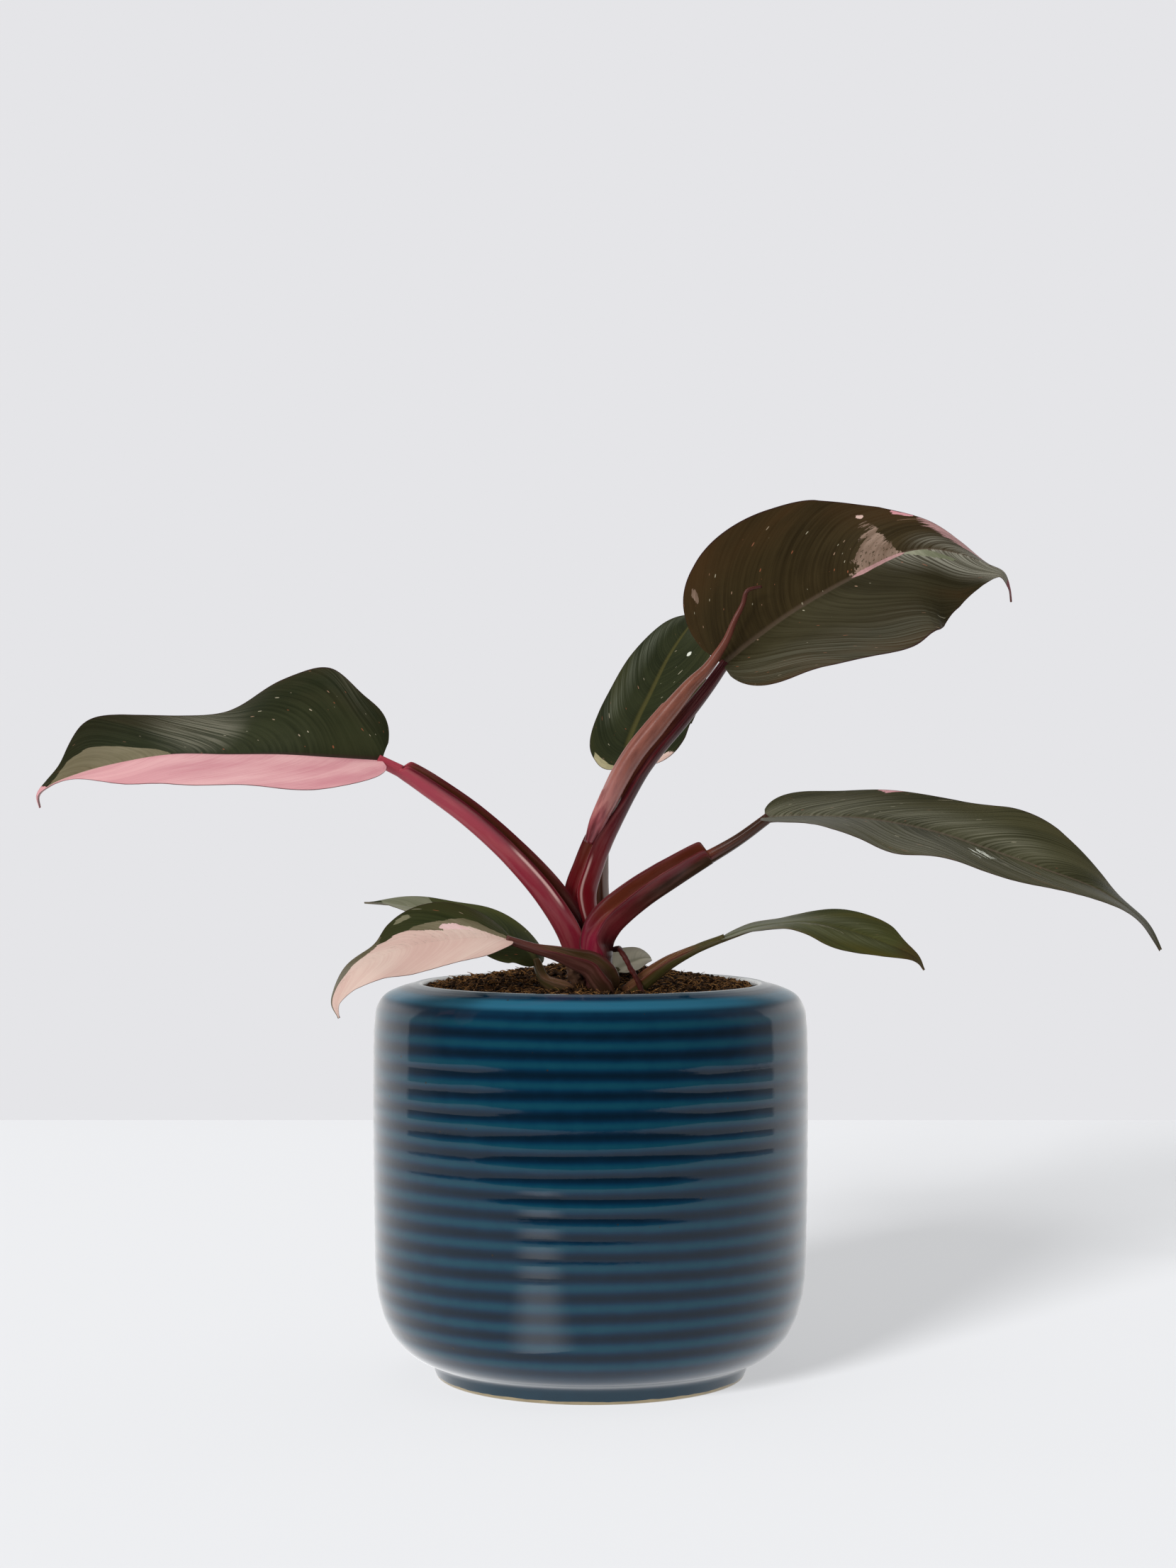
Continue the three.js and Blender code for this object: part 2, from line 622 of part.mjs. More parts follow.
function rootRows(index) {
  const angle = (2 * Math.PI * (index + 0.3)) / ROOT_COUNT;
  return [0, 0.2, 0.45, 0.7, 1].map((share) => {
    const reach = ROOT_REACH * Math.sin(share * 0.6 * Math.PI);
    const height = THREE.MathUtils.lerp(ROOT_TOP - 4 * index, ROOT_BOTTOM, share ** 1.4);
    const radius = ROOT_RADIUS * (1 - 0.55 * share);
    return [2 + reach * Math.cos(angle), -18 + reach * Math.sin(angle), height, radius];
  });
}

function stemSolid(growth = 0) {
  const roots = Array.from({ length: ROOT_COUNT }, (_, i) => toSolid(roundGeometry(rootRows(i), growth)));
  return roots.reduce((stem, root) => stem.add(root), toSolid(roundGeometry(STEM, growth)));
}

const plant = new THREE.Group();

function place(name, geometry, finish) {
  const mesh = new THREE.Mesh(geometry, finish);
  mesh.name = name;
  plant.add(mesh);
}

place('pot', potGeometry(), material(COLOURS.pot, 0.1));

// Each piece that grows against earlier ones is cut clear of them.
const cutters = [stemSolid(GAP)];

function placeGrown(name, build, finish) {
  place(name, toGeometry(cut(build(0), cutters)), finish);
  cutters.push(build(GAP));
}

place('stem', toGeometry(stemSolid()), material(COLOURS.stem, 0.5));

const stalkColours = {
  top_right: COLOURS.crimson,
  back: COLOURS.brown,
  left: COLOURS.crimson,
  right: COLOURS.crimson,
  front_left: COLOURS.brown,
  low_left: COLOURS.brown,
  low_right: COLOURS.brown,
  low_back: COLOURS.brown,
};
const stalkOrder = [
  'right', 'left', 'top_right', 'back', 'front_left', 'low_right', 'low_left', 'low_back',
];
for (const name of stalkOrder) {
  const build = (growth) => toSolid(stalkGeometry(LEAVES[name], growth));
  placeGrown(`petiole_${name}`, build, material(stalkColours[name], 0.4));
}

function placeRound(name, rows, finish) {
  placeGrown(name, (growth) => toSolid(roundGeometry(rows, growth)), finish);
}

placeRound('new_leaf', NEW_LEAF, material(COLOURS.pink, 0.35));
placeRound('aerial_root', AERIAL_ROOT, material(COLOURS.crimson, 0.5));
placeRound('old_sheath', OLD_SHEATH, material(COLOURS.pink, 0.6));

place('soil', toGeometry(cut(toSolid(soilGeometry()), cutters)), material(COLOURS.soil, 0.95));

for (const [name, leaf] of Object.entries(LEAVES)) {
  const colour = name === 'low_back' ? COLOURS.pale_green : COLOURS.dark_green;
  place(`blade_${name}`, toGeometry(cut(toSolid(bladeGeometry(leaf)), cutters)), material(colour, 0.45));
}

export default plant;
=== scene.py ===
# A young philodendron with pink variegation in a ribbed, glazed pot: its fine surfaces and finishes.
# Shapes are worked out in millimetres, in the part's own frame, and become metres in the meshes.
# -Y faces the viewer, and left and right are the viewer's.

import json
import math
import random

import bpy
import numpy as np
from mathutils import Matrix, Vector

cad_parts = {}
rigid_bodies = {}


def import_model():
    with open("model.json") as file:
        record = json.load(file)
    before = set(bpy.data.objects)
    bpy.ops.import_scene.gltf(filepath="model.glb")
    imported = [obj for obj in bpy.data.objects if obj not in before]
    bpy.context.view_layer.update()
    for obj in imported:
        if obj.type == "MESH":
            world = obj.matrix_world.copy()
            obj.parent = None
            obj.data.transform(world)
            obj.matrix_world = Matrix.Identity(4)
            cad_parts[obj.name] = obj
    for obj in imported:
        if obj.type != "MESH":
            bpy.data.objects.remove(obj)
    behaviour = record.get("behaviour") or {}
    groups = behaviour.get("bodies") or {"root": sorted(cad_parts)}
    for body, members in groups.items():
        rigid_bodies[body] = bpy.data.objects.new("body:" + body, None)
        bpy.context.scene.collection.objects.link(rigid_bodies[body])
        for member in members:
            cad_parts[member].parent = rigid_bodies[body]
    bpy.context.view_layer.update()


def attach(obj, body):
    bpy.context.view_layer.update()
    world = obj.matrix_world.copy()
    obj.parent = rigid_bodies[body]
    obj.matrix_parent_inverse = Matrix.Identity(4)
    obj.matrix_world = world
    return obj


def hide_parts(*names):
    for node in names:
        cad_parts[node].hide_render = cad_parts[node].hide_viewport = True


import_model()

MM = 0.001
UP = np.array([0.0, 0.0, 1.0])

# The camera: a level one, as far from the pot's axis as its ribs' ellipses say.
CAMERA_PLACE = (-0.87, -1007, 206.4)
CAMERA_LENS = 65.9
CAMERA_SENSOR = 36

# The floor, whose far edge meets the plain wall.
FLOOR_SIDE = 930
FLOOR_FRONT = -520
WALL_DISTANCE = 756
FLOOR_TINT = (0.08, 0.0806, 0.083, 1)
FLOOR_GLOW_TINT = (0.97, 0.98, 1, 1)
FLOOR_GLOW = 0.535
WALL_TINT = "#e5e5e8"

# The suns stand at the left front, about 18 degrees above the floor. Their width is in degrees.
SUN_PLACE = (-0.5, -0.87, 0.32)
SUN_WIDTH = 16
SUN_POWER = 0.8
FLOOR_SUN_POWER = 33

# The lamps: each one's place and target in metres, its power in watts and the size of its panel.
LAMPS = {
    "overhead": ((-0.25, 0.1, 1.6), (0, 0, 0.1), 9, (1.3, 0.9)),
    "left_front": ((-1.5, -1.1, 1.0), (0, 0, 0.15), 8, (0.9, 0.9)),
    "stalk_glint": ((-0.7, -0.8, 1.0), (0, 0, 0.2), 2.4, (0.3, 0.6)),
}

# The streak of light on the floor: its origin, its turn and its width in degrees, the distance and
# half width of its two ends, and the distances between which it fades out, in metres.
STREAK_PLACE = (0.016, 0, 0.001)
STREAK_TURN = 26
STREAK_WIDTH = 14
STREAK_ENDS = ((0.09, 0.04), (0.45, 0.2))
STREAK_FADE = (0.34, 0.42)
STREAK_POWER = 1.9

# The pot.
POT_HEIGHT = 137
POT_RADIUS = 76
POT_MOUTH_RADIUS = 58.8
POT_WALL = 6
POT_FLOOR = 9
FOOT_RADIUS = 54
FOOT_HEIGHT = 6
RIB_COUNT = 18
RIB_LOWEST = 15.7
RIB_HIGHEST = 127.6
RIB_DEPTH = 0.1
POT_SIDES = 288
GAP = 0.3

# The soil.
SOIL_EDGE_HEIGHT = 134.8
MOUND_HEIGHT = 7
MOUND_CENTRE = (0, 17)
MOUND_SPREAD = 36
CRUMB_HEIGHT = 0.5

# The leaf blades. Their surface runs from the first to the last of these shares of the midrib.
BLADE_START = 0.0025
BLADE_END = 0.9925
BLADE_FULLNESS = 0.42
VEIN_SWEEP_AT_TIP = 36
VEIN_BEND = 1.3
VEIN_ARCH = 1.8
VEIN_SPACING = 7.5
VEIN_RELIEF = 0.12
QUILTING = 0.05
MARGIN_THICKNESS = 0.14
ADDED_THICKNESS = 0.3
MIDRIB_GROOVE = 0.32
MIDRIB_HEIGHT_AT_TIP = 0.25

# The rows along each blade and the columns on each of its halves.
BLADE_GRIDS = {
    "top_right": (200, 44), "left": (200, 42), "right": (200, 36), "back": (130, 30),
    "front_left": (130, 28), "low_left": (120, 24), "low_right": (130, 24), "low_back": (80, 20),
}

# The stalks: the wing height of a fully open sheath, and how far a stalk reaches in under its blade.
FULL_WING = 2
SEAT_DEPTH = 1.8
CRIMSON_STALKS = ("top_right", "left", "right")

# The stem and its main roots: x, y, z and radius of each station.
STEM = [
    [2, -17, 96, 2], [2, -17.5, 104, 4.5], [2, -18, 120, 6], [1.5, -19, 138, 6],
    [1, -19, 148, 5.5], [0.5, -18, 156, 4],
]
ROOT_CENTRE = (2, -18)
ROOT_COUNT = 5
ROOT_TOP = 112
ROOT_BOTTOM = 42
ROOT_REACH = 38
ROOT_RADIUS = 1.6

# The side that the sections of the stem, roots and rolled leaf face.
LOFT_FACE = [0.3, 1, 0.2]

# The leaves, as the solids have them. A stalk row is x, y, z, radius and wing height, from the
# blade down to the stem. Each half of a blade has its greatest width, its curl, the sweep of its
# first veins and the power by which it narrows to the tip, and at even steps from the base to
# the tip its angle above the horizontal and the trim of its width.
LEAVES = {
    "top_right": {
        "face": [-0.75, -0.5, 0.45],
        "stalk": [
            [45.5, -12, 246, 1.8, 0], [40, -12.5, 239, 2.2, 0], [31, -13, 228, 2.8, 0],
            [24, -13, 220, 3, 0], [17.5, -14, 211.5, 3.1, 0], [12.5, -14, 203, 3.2, 0.5],
            [8, -14, 194.5, 3.3, 1.5], [3.5, -14, 186, 3.8, 2], [0, -14, 177, 4, 2],
            [-2.5, -14, 168.5, 4.4, 2], [-2, -14, 159, 4.8, 1.5], [-0.5, -15, 150.5, 4.8, 1],
        ],
        "midrib": [
            [45.5, -12, 247.5], [55.5, -13, 255.5], [68.5, -14, 265], [80, -15, 272], [92, -16, 278.5],
            [107.5, -16, 286], [117.5, -15, 287.5], [129.5, -13, 285.5], [138, -12, 282.3],
            [143.3, -12, 279.8], [145.3, -12, 275], [146, -12, 268.7],
        ],
        "left": {"width": 40, "curl": 8, "base": -16, "point": 1.55,
                 "rise": [72, 72, 68, 60, 46, 34, 12, 6],
                 "trim": [0.94, 0.955, 0.965, 1, 0.94, 1, 1, 1]},
        "right": {"width": 36, "curl": -6, "base": -3, "point": 1.15,
                  "rise": [-32, -34, -38, -44, -50, -54, -50, -40],
                  "trim": [1.2, 1.08, 1, 1, 1.05, 1.15, 1.13, 1.17, 1.2, 1.13, 1.06, 0.88, 0.6, 0.6, 0.7]},
    },
    "back": {
        "face": [-0.5, -0.8, 0.2],
        "stalk": [
            [13, 12, 213, 1.6, 0], [8, 8, 200.5, 2.1, 0], [4, 3, 185.5, 2.7, 1.2],
            [3, 0, 175.5, 3.2, 2], [3, -4, 166, 3.4, 2], [3.5, -9, 151, 3.8, 1],
            [2.5, -13, 141, 3.2, 0],
        ],
        "midrib": [
            [13, 12.5, 214.5], [13.5, 20, 220.5], [17, 29, 229.5], [21.5, 38, 238.5],
            [28.5, 51, 252.5], [35, 64, 262.5], [40.5, 78, 269], [45, 92, 271.5],
        ],
        "left": {"width": 17, "curl": 4, "base": -58, "point": 1.1,
                 "rise": [14, 12, 10],
                 "trim": [0.94, 0.87, 0.92, 1.12, 1.2]},
        "right": {"width": 24, "curl": 4, "base": -48, "point": 1.1,
                  "rise": [14, 12, 10],
                  "trim": [1.3, 1.1, 0.9, 0.9, 1]},
    },
    "left": {
        "face": [0.62, -0.38, 0.69],
        "stalk": [
            [-69.5, -25, 213, 2, 0], [-65, -25, 210.8, 2.2, 0], [-62.5, -25, 209.5, 2.5, 2.2],
            [-56.5, -25, 205.5, 2.7, 2.6], [-42, -24, 195, 3, 2.8], [-28.5, -23, 183, 3.3, 2.8],
            [-16.5, -22, 170, 3.9, 2.8], [-8, -21, 158, 4.6, 2.4], [-4.5, -20, 150.5, 5, 1.6],
            [-3, -19, 144, 4.6, 0.8],
        ],
        "midrib": [
            [-71, -25, 214.5], [-88, -26, 215.5], [-105.5, -27, 216.5], [-124, -28, 216.5],
            [-143, -29, 216.5], [-161, -30, 213.5], [-174, -31, 210], [-183.5, -32, 206],
            [-187.5, -32, 202.5], [-187, -32, 197.5],
        ],
        "left": {"width": 34, "curl": -3, "base": -14, "point": 1.1,
                 "rise": [-14, -16, -17, -16, -17, -18, -14, -4],
                 "trim": [1.25, 1.14, 1, 1.1, 1.05, 0.78, 0.6, 0.8]},
        "right": {"width": 37, "curl": 10, "base": -18, "point": 1.12,
                  "rise": [70, 64, 41, 22, 20, 36, 60, 40],
                  "trim": [0.88, 0.83, 0.98, 0.99, 1, 1.01, 1.03, 1.04, 1.04, 1.06, 1, 0.8, 0.56, 0.46, 0.4]},
    },
    "right": {
        "face": [-0.4, -0.62, 0.68],
        "stalk": [
            [57.5, -36, 194, 1.8, 0], [50, -35, 187.5, 2, 0], [40.5, -34, 181.8, 2.4, 0],
            [38.5, -34, 180.8, 2.6, 4], [26.5, -33, 173.5, 3.1, 4.4], [18.5, -32, 168.5, 3.5, 4],
            [11, -31, 163, 4, 3.4], [6, -29.5, 158.5, 4.6, 2.4], [3, -28, 153.5, 5, 1.6],
            [2.5, -27, 148.5, 5.1, 1], [3, -26, 143, 4.6, 0.5],
        ],
        "midrib": [
            [58.5, -36.2, 195], [67.5, -38, 195.5], [77.5, -40, 195.5], [94.5, -44, 194.5],
            [114.5, -48, 190.5], [132.5, -52, 184.5], [150.5, -55, 178], [168.5, -58, 171],
            [181.5, -60, 161.5], [188.5, -61, 151],
        ],
        "left": {"width": 26, "curl": 4, "base": -8, "point": 1.1,
                 "rise": [24, 18, 19, 27, 38, 34, 12, 8],
                 "trim": [1.25, 1.1, 1.04, 1.02, 1.14, 1, 0.98, 1]},
        "right": {"width": 26, "curl": -6, "base": -8, "point": 1.1,
                  "rise": [-3, -3, -15, -13, -13, -12, -9, -2],
                  "trim": [1.2, 1.12, 1.02, 0.9, 1.06, 1.05, 0.98, 1, 1.04, 1.02, 1, 1, 1, 1, 1]},
    },
    "front_left": {
        "face": [0.1, -0.5, 0.85],
        "stalk": [
            [-25.5, -40, 153, 1.4, 0], [-19, -39, 151, 1.7, 0.4], [-12, -38, 149, 2.1, 1.2],
            [-5.5, -37, 146.5, 2.7, 1.8], [0, -36, 144, 3.4, 2.2], [3.5, -35, 140, 4, 2.2],
            [5.5, -32, 134, 4, 1.6], [4, -27, 128, 3.4, 0.8],
        ],
        "midrib": [
            [-26.8, -40.5, 154], [-36, -45, 155], [-48.5, -51, 154.5], [-58, -56, 153],
            [-67, -61, 150.5], [-75.5, -67, 146.5], [-81.5, -71, 140.5], [-83.5, -74, 135],
            [-81.5, -76, 130],
        ],
        "left": {"width": 17, "curl": -8, "base": -8, "point": 1.1,
                 "rise": [-18, -26, -28, -28, -26, -20, -12, -6],
                 "trim": [0.55, 0.7, 0.78, 0.88, 1, 1.04, 1, 1]},
        "right": {"width": 17, "curl": 6, "base": -8, "point": 1.4,
                  "rise": [28, 36, 40, 36, 22, 4, -4, 0],
                  "trim": [1, 1, 1, 0.9, 0.62, 1.15, 1.1, 1]},
    },
    "low_left": {
        "face": [0.2, -0.3, 0.9],
        "stalk": [
            [-17.5, -22, 143, 1.4, 0], [-16.5, -24, 140, 1.8, 0.8], [-13.5, -26, 137.5, 2.2, 1.4],
            [-9, -27, 136, 2.4, 1.4], [-4.5, -26, 133, 2.4, 1], [-1, -23, 129, 2.2, 0.4],
        ],
        "midrib": [
            [-18, -21.6, 144.5], [-20.5, -20, 148.5], [-27.5, -17, 153.5], [-39, -13, 158.5],
            [-52.5, -9, 161.5], [-66.5, -5, 164], [-79.5, -2, 165],
        ],
        "left": {"width": 15, "curl": -4, "base": -6, "point": 1.2,
                 "rise": [-30, -28, -18, -8, -4, 0, 2],
                 "trim": [1, 1, 1, 1, 1, 1, 1]},
        "right": {"width": 16, "curl": 4, "base": -6, "point": 1.1,
                  "rise": [12, 14, 15, 16, 19, 21, 21],
                  "trim": [0.6, 0.73, 0.82, 0.88, 1, 1, 1]},
    },
    "low_right": {
        "face": [-0.2, -0.4, 0.9],
        "stalk": [
            [42.5, -34, 153, 1.3, 0], [36, -33.5, 150.5, 1.5, 0.6], [27.5, -32.5, 146, 2, 1.2],
            [22.5, -32, 142.5, 2.3, 1.4], [17.5, -31, 138.5, 2.6, 1.4], [11.5, -29, 134, 2.8, 1],
            [6.5, -25, 129, 2.6, 0.4],
        ],
        "midrib": [
            [43.8, -34.2, 153.8], [48.5, -35, 155.5], [54.5, -36, 157.5], [66.5, -38, 159.5],
            [75.5, -40, 159.5], [87.5, -42, 157], [99, -44, 153], [108.5, -46, 148.5],
            [112, -47, 144],
        ],
        "left": {"width": 15, "curl": 4, "base": 6, "point": 1.1,
                 "rise": [8, 8, 4, 12, 28, 40, 46, 38],
                 "trim": [1, 0.95, 0.85, 0.9, 0.96, 0.98, 0.7, 0.8]},
        "right": {"width": 15, "curl": -4, "base": 6, "point": 1.1,
                  "rise": [-6, -2, -6, -14, -26, -32, -28, -8],
                  "trim": [1, 1, 0.65, 0.93, 1, 1, 1, 1]},
    },
    "low_back": {
        "face": [-0.3, -0.4, 0.85],
        "stalk": [
            [8.3, -8.8, 140.2, 1.2, 0], [7.8, -10.2, 138.4, 1.4, 0], [7, -12, 136, 1.5, 0.4],
            [5, -15, 131, 1.6, 0],
        ],
        "midrib": [
            [8.5, -8.5, 141.3], [11, -4, 142.8], [14.5, 1, 144], [18, 6, 144.8], [21.5, 11, 144.6],
        ],
        "left": {"width": 5.8, "curl": -6, "base": -8, "point": 0.8,
                 "rise": [62, 62, 60],
                 "trim": [1.25, 0.96, 1.1]},
        "right": {"width": 4.5, "curl": -6, "base": -6, "point": 0.8,
                  "rise": [-14, -18, -10],
                  "trim": [1.7, 1, 1]},
    },
}

# The rolled new leaf: x, y, z and radius from its tip down to the sheath that it grew in.
NEW_LEAF = [
    [59, -18, 274.5, 0.5], [54, -18, 273, 0.8], [52.5, -18, 268.5, 0.9], [49.5, -18, 262.5, 1.1],
    [47, -18, 256.5, 1.4], [44, -18, 251.5, 1.7], [40, -18, 246, 2.1], [34.5, -18, 240.5, 2.7],
    [29, -18, 234, 3.3], [22, -18, 225.5, 3.7], [15.5, -18.5, 217.5, 3.7], [10.5, -18.5, 209.5, 3.7],
    [6, -18.5, 200.5, 3.4], [2.5, -18, 193, 3], [0, -17, 186, 2.2],
]

# The aerial root and the old sheath's stub: x, y, z and radius of each station.
AERIAL_ROOT = [
    [6.5, -19, 149, 1], [9.5, -24, 150, 1], [10.5, -31, 149.3, 0.9], [12, -33.5, 147, 0.9],
    [13.5, -34, 144, 0.9], [15, -34.5, 141.5, 0.9], [16.5, -35, 138.5, 0.9],
    [17.5, -35.5, 135, 0.8], [18, -36, 130, 0.6],
]

OLD_SHEATH = [
    [-1, -22, 131, 2.4], [-4, -23.5, 137, 2.4], [-6.2, -25, 142, 2], [-7, -25.5, 146, 1.1],
]


# Geometry

def unit(vectors):
    return vectors / np.linalg.norm(vectors, axis=-1, keepdims=True)


def smooth_step(low, high, values):
    share = np.clip((values - low) / (high - low), 0, 1)
    return share * share * (3 - 2 * share)


def soft_values(values, share):
    """The values of a list at shares of its length, on a smooth line through all of them."""
    values = np.asarray(values, float)
    place = np.clip(share, 0, 1) * (len(values) - 1)
    index = np.minimum(place.astype(int), len(values) - 2)
    t = place - index
    padded = np.concatenate([[2 * values[0] - values[1]], values, [2 * values[-1] - values[-2]]])
    before, here, there, after = (padded[index + k] for k in range(4))
    bend = (2 * before - 5 * here + 4 * there - after) * t + (3 * (here - there) + after - before) * t * t
    return here + 0.5 * t * (there - before + bend)


class Curve:
    """A centripetal curve through points, read by steps between them or by its length."""

    def __init__(self, points):
        self.points = np.array(points, float)
        places = np.linspace(0, 1, 60 * (len(points) - 1) + 1)
        steps = np.linalg.norm(np.diff(self.at_place(places), axis=0), axis=1)
        self.places = places
        self.lengths = np.concatenate([[0], np.cumsum(steps)])
        self.length = self.lengths[-1]

    def at_place(self, place):
        points = self.points
        padded = np.vstack([2 * points[0] - points[1], points, 2 * points[-1] - points[-2]])
        step = np.clip(place, 0, 1) * (len(points) - 1)
        index = np.minimum(step.astype(int), len(points) - 2)
        t = (step - index)[..., None]
        p0, p1, p2, p3 = (padded[index + k] for k in range(4))
        d0, d1, d2 = (np.sqrt(np.linalg.norm(b - a, axis=-1, keepdims=True))
                      for a, b in ((p0, p1), (p1, p2), (p2, p3)))
        start = d1 * ((p1 - p0) / d0 - (p2 - p0) / (d0 + d1) + (p2 - p1) / d1)
        end = d1 * ((p2 - p1) / d1 - (p3 - p1) / (d1 + d2) + (p3 - p2) / d2)
        cubic = 2 * p1 - 2 * p2 + start + end
        square = 3 * p2 - 3 * p1 - 2 * start - end
        return p1 + start * t + square * t ** 2 + cubic * t ** 3

    def tangent_at_place(self, place):
        small = 1e-4
        ahead = self.at_place(np.minimum(place + small, 1))
        return unit(ahead - self.at_place(np.maximum(place - small, 0)))

    def place_of(self, share):
        return np.interp(np.asarray(share) * self.length, self.lengths, self.places)


def close_turn(mesh, places):
    """A lofted piece's places at its faces' corners, so that the last face round each ring goes on
    to a full turn instead of back to 0."""
    corners = np.empty(len(mesh.loops), np.int32)
    starts = np.empty(len(mesh.polygons), np.int32)
    sizes = np.empty(len(mesh.polygons), np.int32)
    mesh.loops.foreach_get("vertex_index", corners)
    mesh.polygons.foreach_get("loop_start", starts)
    mesh.polygons.foreach_get("loop_total", sizes)
    closed = np.array(places)[corners]
    greatest = np.repeat(np.maximum.reduceat(closed[:, 1], starts), sizes)
    on_ring = np.repeat(sizes == 4, sizes)
    closed[on_ring & (greatest > 0.8) & (closed[:, 1] < 0.2), 1] += 1
    return closed


def make_piece(name, points, faces, replaced, slot, material, lofted=False, **fields):
    """A mesh of the object, closed and smooth, with its fields as attributes."""
    points = np.asarray(points, float)
    mesh = bpy.data.meshes.new(name)
    mesh.from_pydata((points * MM).tolist(), [], faces)
    mesh.polygons.foreach_set("use_smooth", [True] * len(mesh.polygons))
    for field, values in fields.items():
        values = close_turn(mesh, values) if lofted else values
        layer = mesh.attributes.new(field, "FLOAT_VECTOR", "CORNER" if lofted else "POINT")
        layer.data.foreach_set("vector", np.asarray(values, np.float32).ravel())
    mesh.materials.append(material)
    mesh.update()
    piece = bpy.data.objects.new(name, mesh)
    bpy.context.scene.collection.objects.link(piece)
    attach(piece, "root")
    if replaced:
        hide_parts(replaced)
    return piece


def outward(points, faces):
    """The faces, turned to point out of the closed body that they make."""
    points = np.asarray(points)
    fans = np.array([(face[0], *face[k:k + 2]) for face in faces for k in range(1, len(face) - 1)])
    a, b, c = (points[fans[:, k]] for k in range(3))
    volume = np.einsum("ij,ij->i", a, np.cross(b, c)).sum()
    return faces if volume > 0 else [face[::-1] for face in faces]


def tube_faces(rings, sides):
    """Quads round a tube of rings, with its two ends closed."""
    ring = np.arange(rings - 1)[:, None] * sides
    side = np.arange(sides)[None, :]
    following = (side + 1) % sides
    quads = np.stack([ring + side, ring + following, ring + following + sides, ring + side + sides], -1)
    faces = [tuple(face) for face in quads.reshape(-1, 4).tolist()]
    faces.append(tuple(range(sides))[::-1])
    faces.append(tuple(range((rings - 1) * sides, rings * sides)))
    return faces


def closed_outline(corners, per_corner):
    """A smooth closed outline through corners, with as many points for each."""
    corners = np.asarray(corners, float)
    count = len(corners)
    t = (np.arange(per_corner) / per_corner)[None, :, None]
    before, here, there, after = (np.roll(corners, shift, axis=0)[:, None] for shift in (1, 0, -1, -2))
    bend = (2 * before - 5 * here + 4 * there - after) * t + (3 * (here - there) + after - before) * t ** 2
    return (here + 0.5 * t * (there - before + bend)).reshape(count * per_corner, 2)


def stalk_section(radius, wing):
    """A stalk's outline, anticlockwise from the middle of its channel."""
    angles = np.radians([90, 118, 140, 156, 186, 230, 270, 310, 354, 384, 400, 422])
    share = min(1, wing / FULL_WING)
    tip = 0.6 * radius + wing
    round_corners = radius * np.stack([np.cos(angles), np.sin(angles)], 1)
    winged = np.array([
        [0, 0.3 * radius], [-0.52 * radius, 0.42 * radius], [-0.8 * radius, tip], [-1.1 * radius, tip],
        [-1.06 * radius, -0.1 * radius], [-0.7 * radius, -0.8 * radius], [0, -1.05 * radius],
        [0.7 * radius, -0.8 * radius], [1.06 * radius, -0.1 * radius], [1.1 * radius, tip],
        [0.8 * radius, tip], [0.52 * radius, 0.42 * radius],
    ])
    return round_corners + share * (winged - round_corners)


def size_at(sizes, place):
    """A size between its rows, which grows from nothing in a round shoulder."""
    step = place * (len(sizes) - 1)
    index = min(int(step), len(sizes) - 2)
    share = step - index
    first, last = sizes[index], sizes[index + 1]
    if first == 0 < last:
        share = math.sqrt(1 - (1 - share) ** 2)
    return first + (last - first) * share


def loft(rows, face, section_at, steps_per_row, per_corner):
    """The points and faces of a body lofted along rows of x, y, z and sizes, and its place field,
    which holds the share of the way along and of the turn round, and the distance along."""
    rows = np.array(rows, float)
    curve = Curve(rows[:, :3])
    stations = (len(rows) - 1) * steps_per_row + 1
    places = np.linspace(0, 1, stations)
    centres = curve.at_place(places)
    tangents = curve.tangent_at_place(places)
    up = unit(np.array(face, float))
    high = unit(up - tangents * (tangents @ up)[:, None])
    side = np.cross(tangents, high)
    distance = np.interp(places, curve.places, curve.lengths)
    points, field = [], []
    for station in range(stations):
        sizes = [size_at(rows[:, k], places[station]) for k in range(3, rows.shape[1])]
        outline = closed_outline(section_at(places[station], *sizes), per_corner)
        points.append(centres[station] + outline[:, :1] * side[station] + outline[:, 1:] * high[station])
        around = np.arange(len(outline)) / len(outline)
        field.append(np.stack([np.full(len(outline), places[station]), around,
                               np.full(len(outline), distance[station])], 1))
    points = np.concatenate(points)
    faces = tube_faces(stations, len(outline))
    return points, outward(points, faces), np.concatenate(field)


def round_section(bumps=0.0, sides=8, seed=0):
    """A round section for loft, uneven by a share of its radius."""
    draw = random.Random(seed)
    phases = [draw.uniform(0, 2 * math.pi) for _ in range(3)]

    def section(place, radius):
        angles = np.arange(sides) * 2 * math.pi / sides
        uneven = 1 + bumps * (np.sin(2 * angles + phases[0] + 30 * place)
                              + np.sin(3 * angles + phases[1] - 47 * place)
                              + math.sin(90 * place + phases[2]))
        return (radius * uneven)[:, None] * np.stack([np.cos(angles), np.sin(angles)], 1)

    return section


def width_share(share, point):
    """A blade half's width along its midrib, as a share of its greatest width."""
    widest = BLADE_FULLNESS / (BLADE_FULLNESS + point)
    greatest = widest ** BLADE_FULLNESS * (1 - widest) ** point
    return share ** BLADE_FULLNESS * (1 - share) ** point / greatest


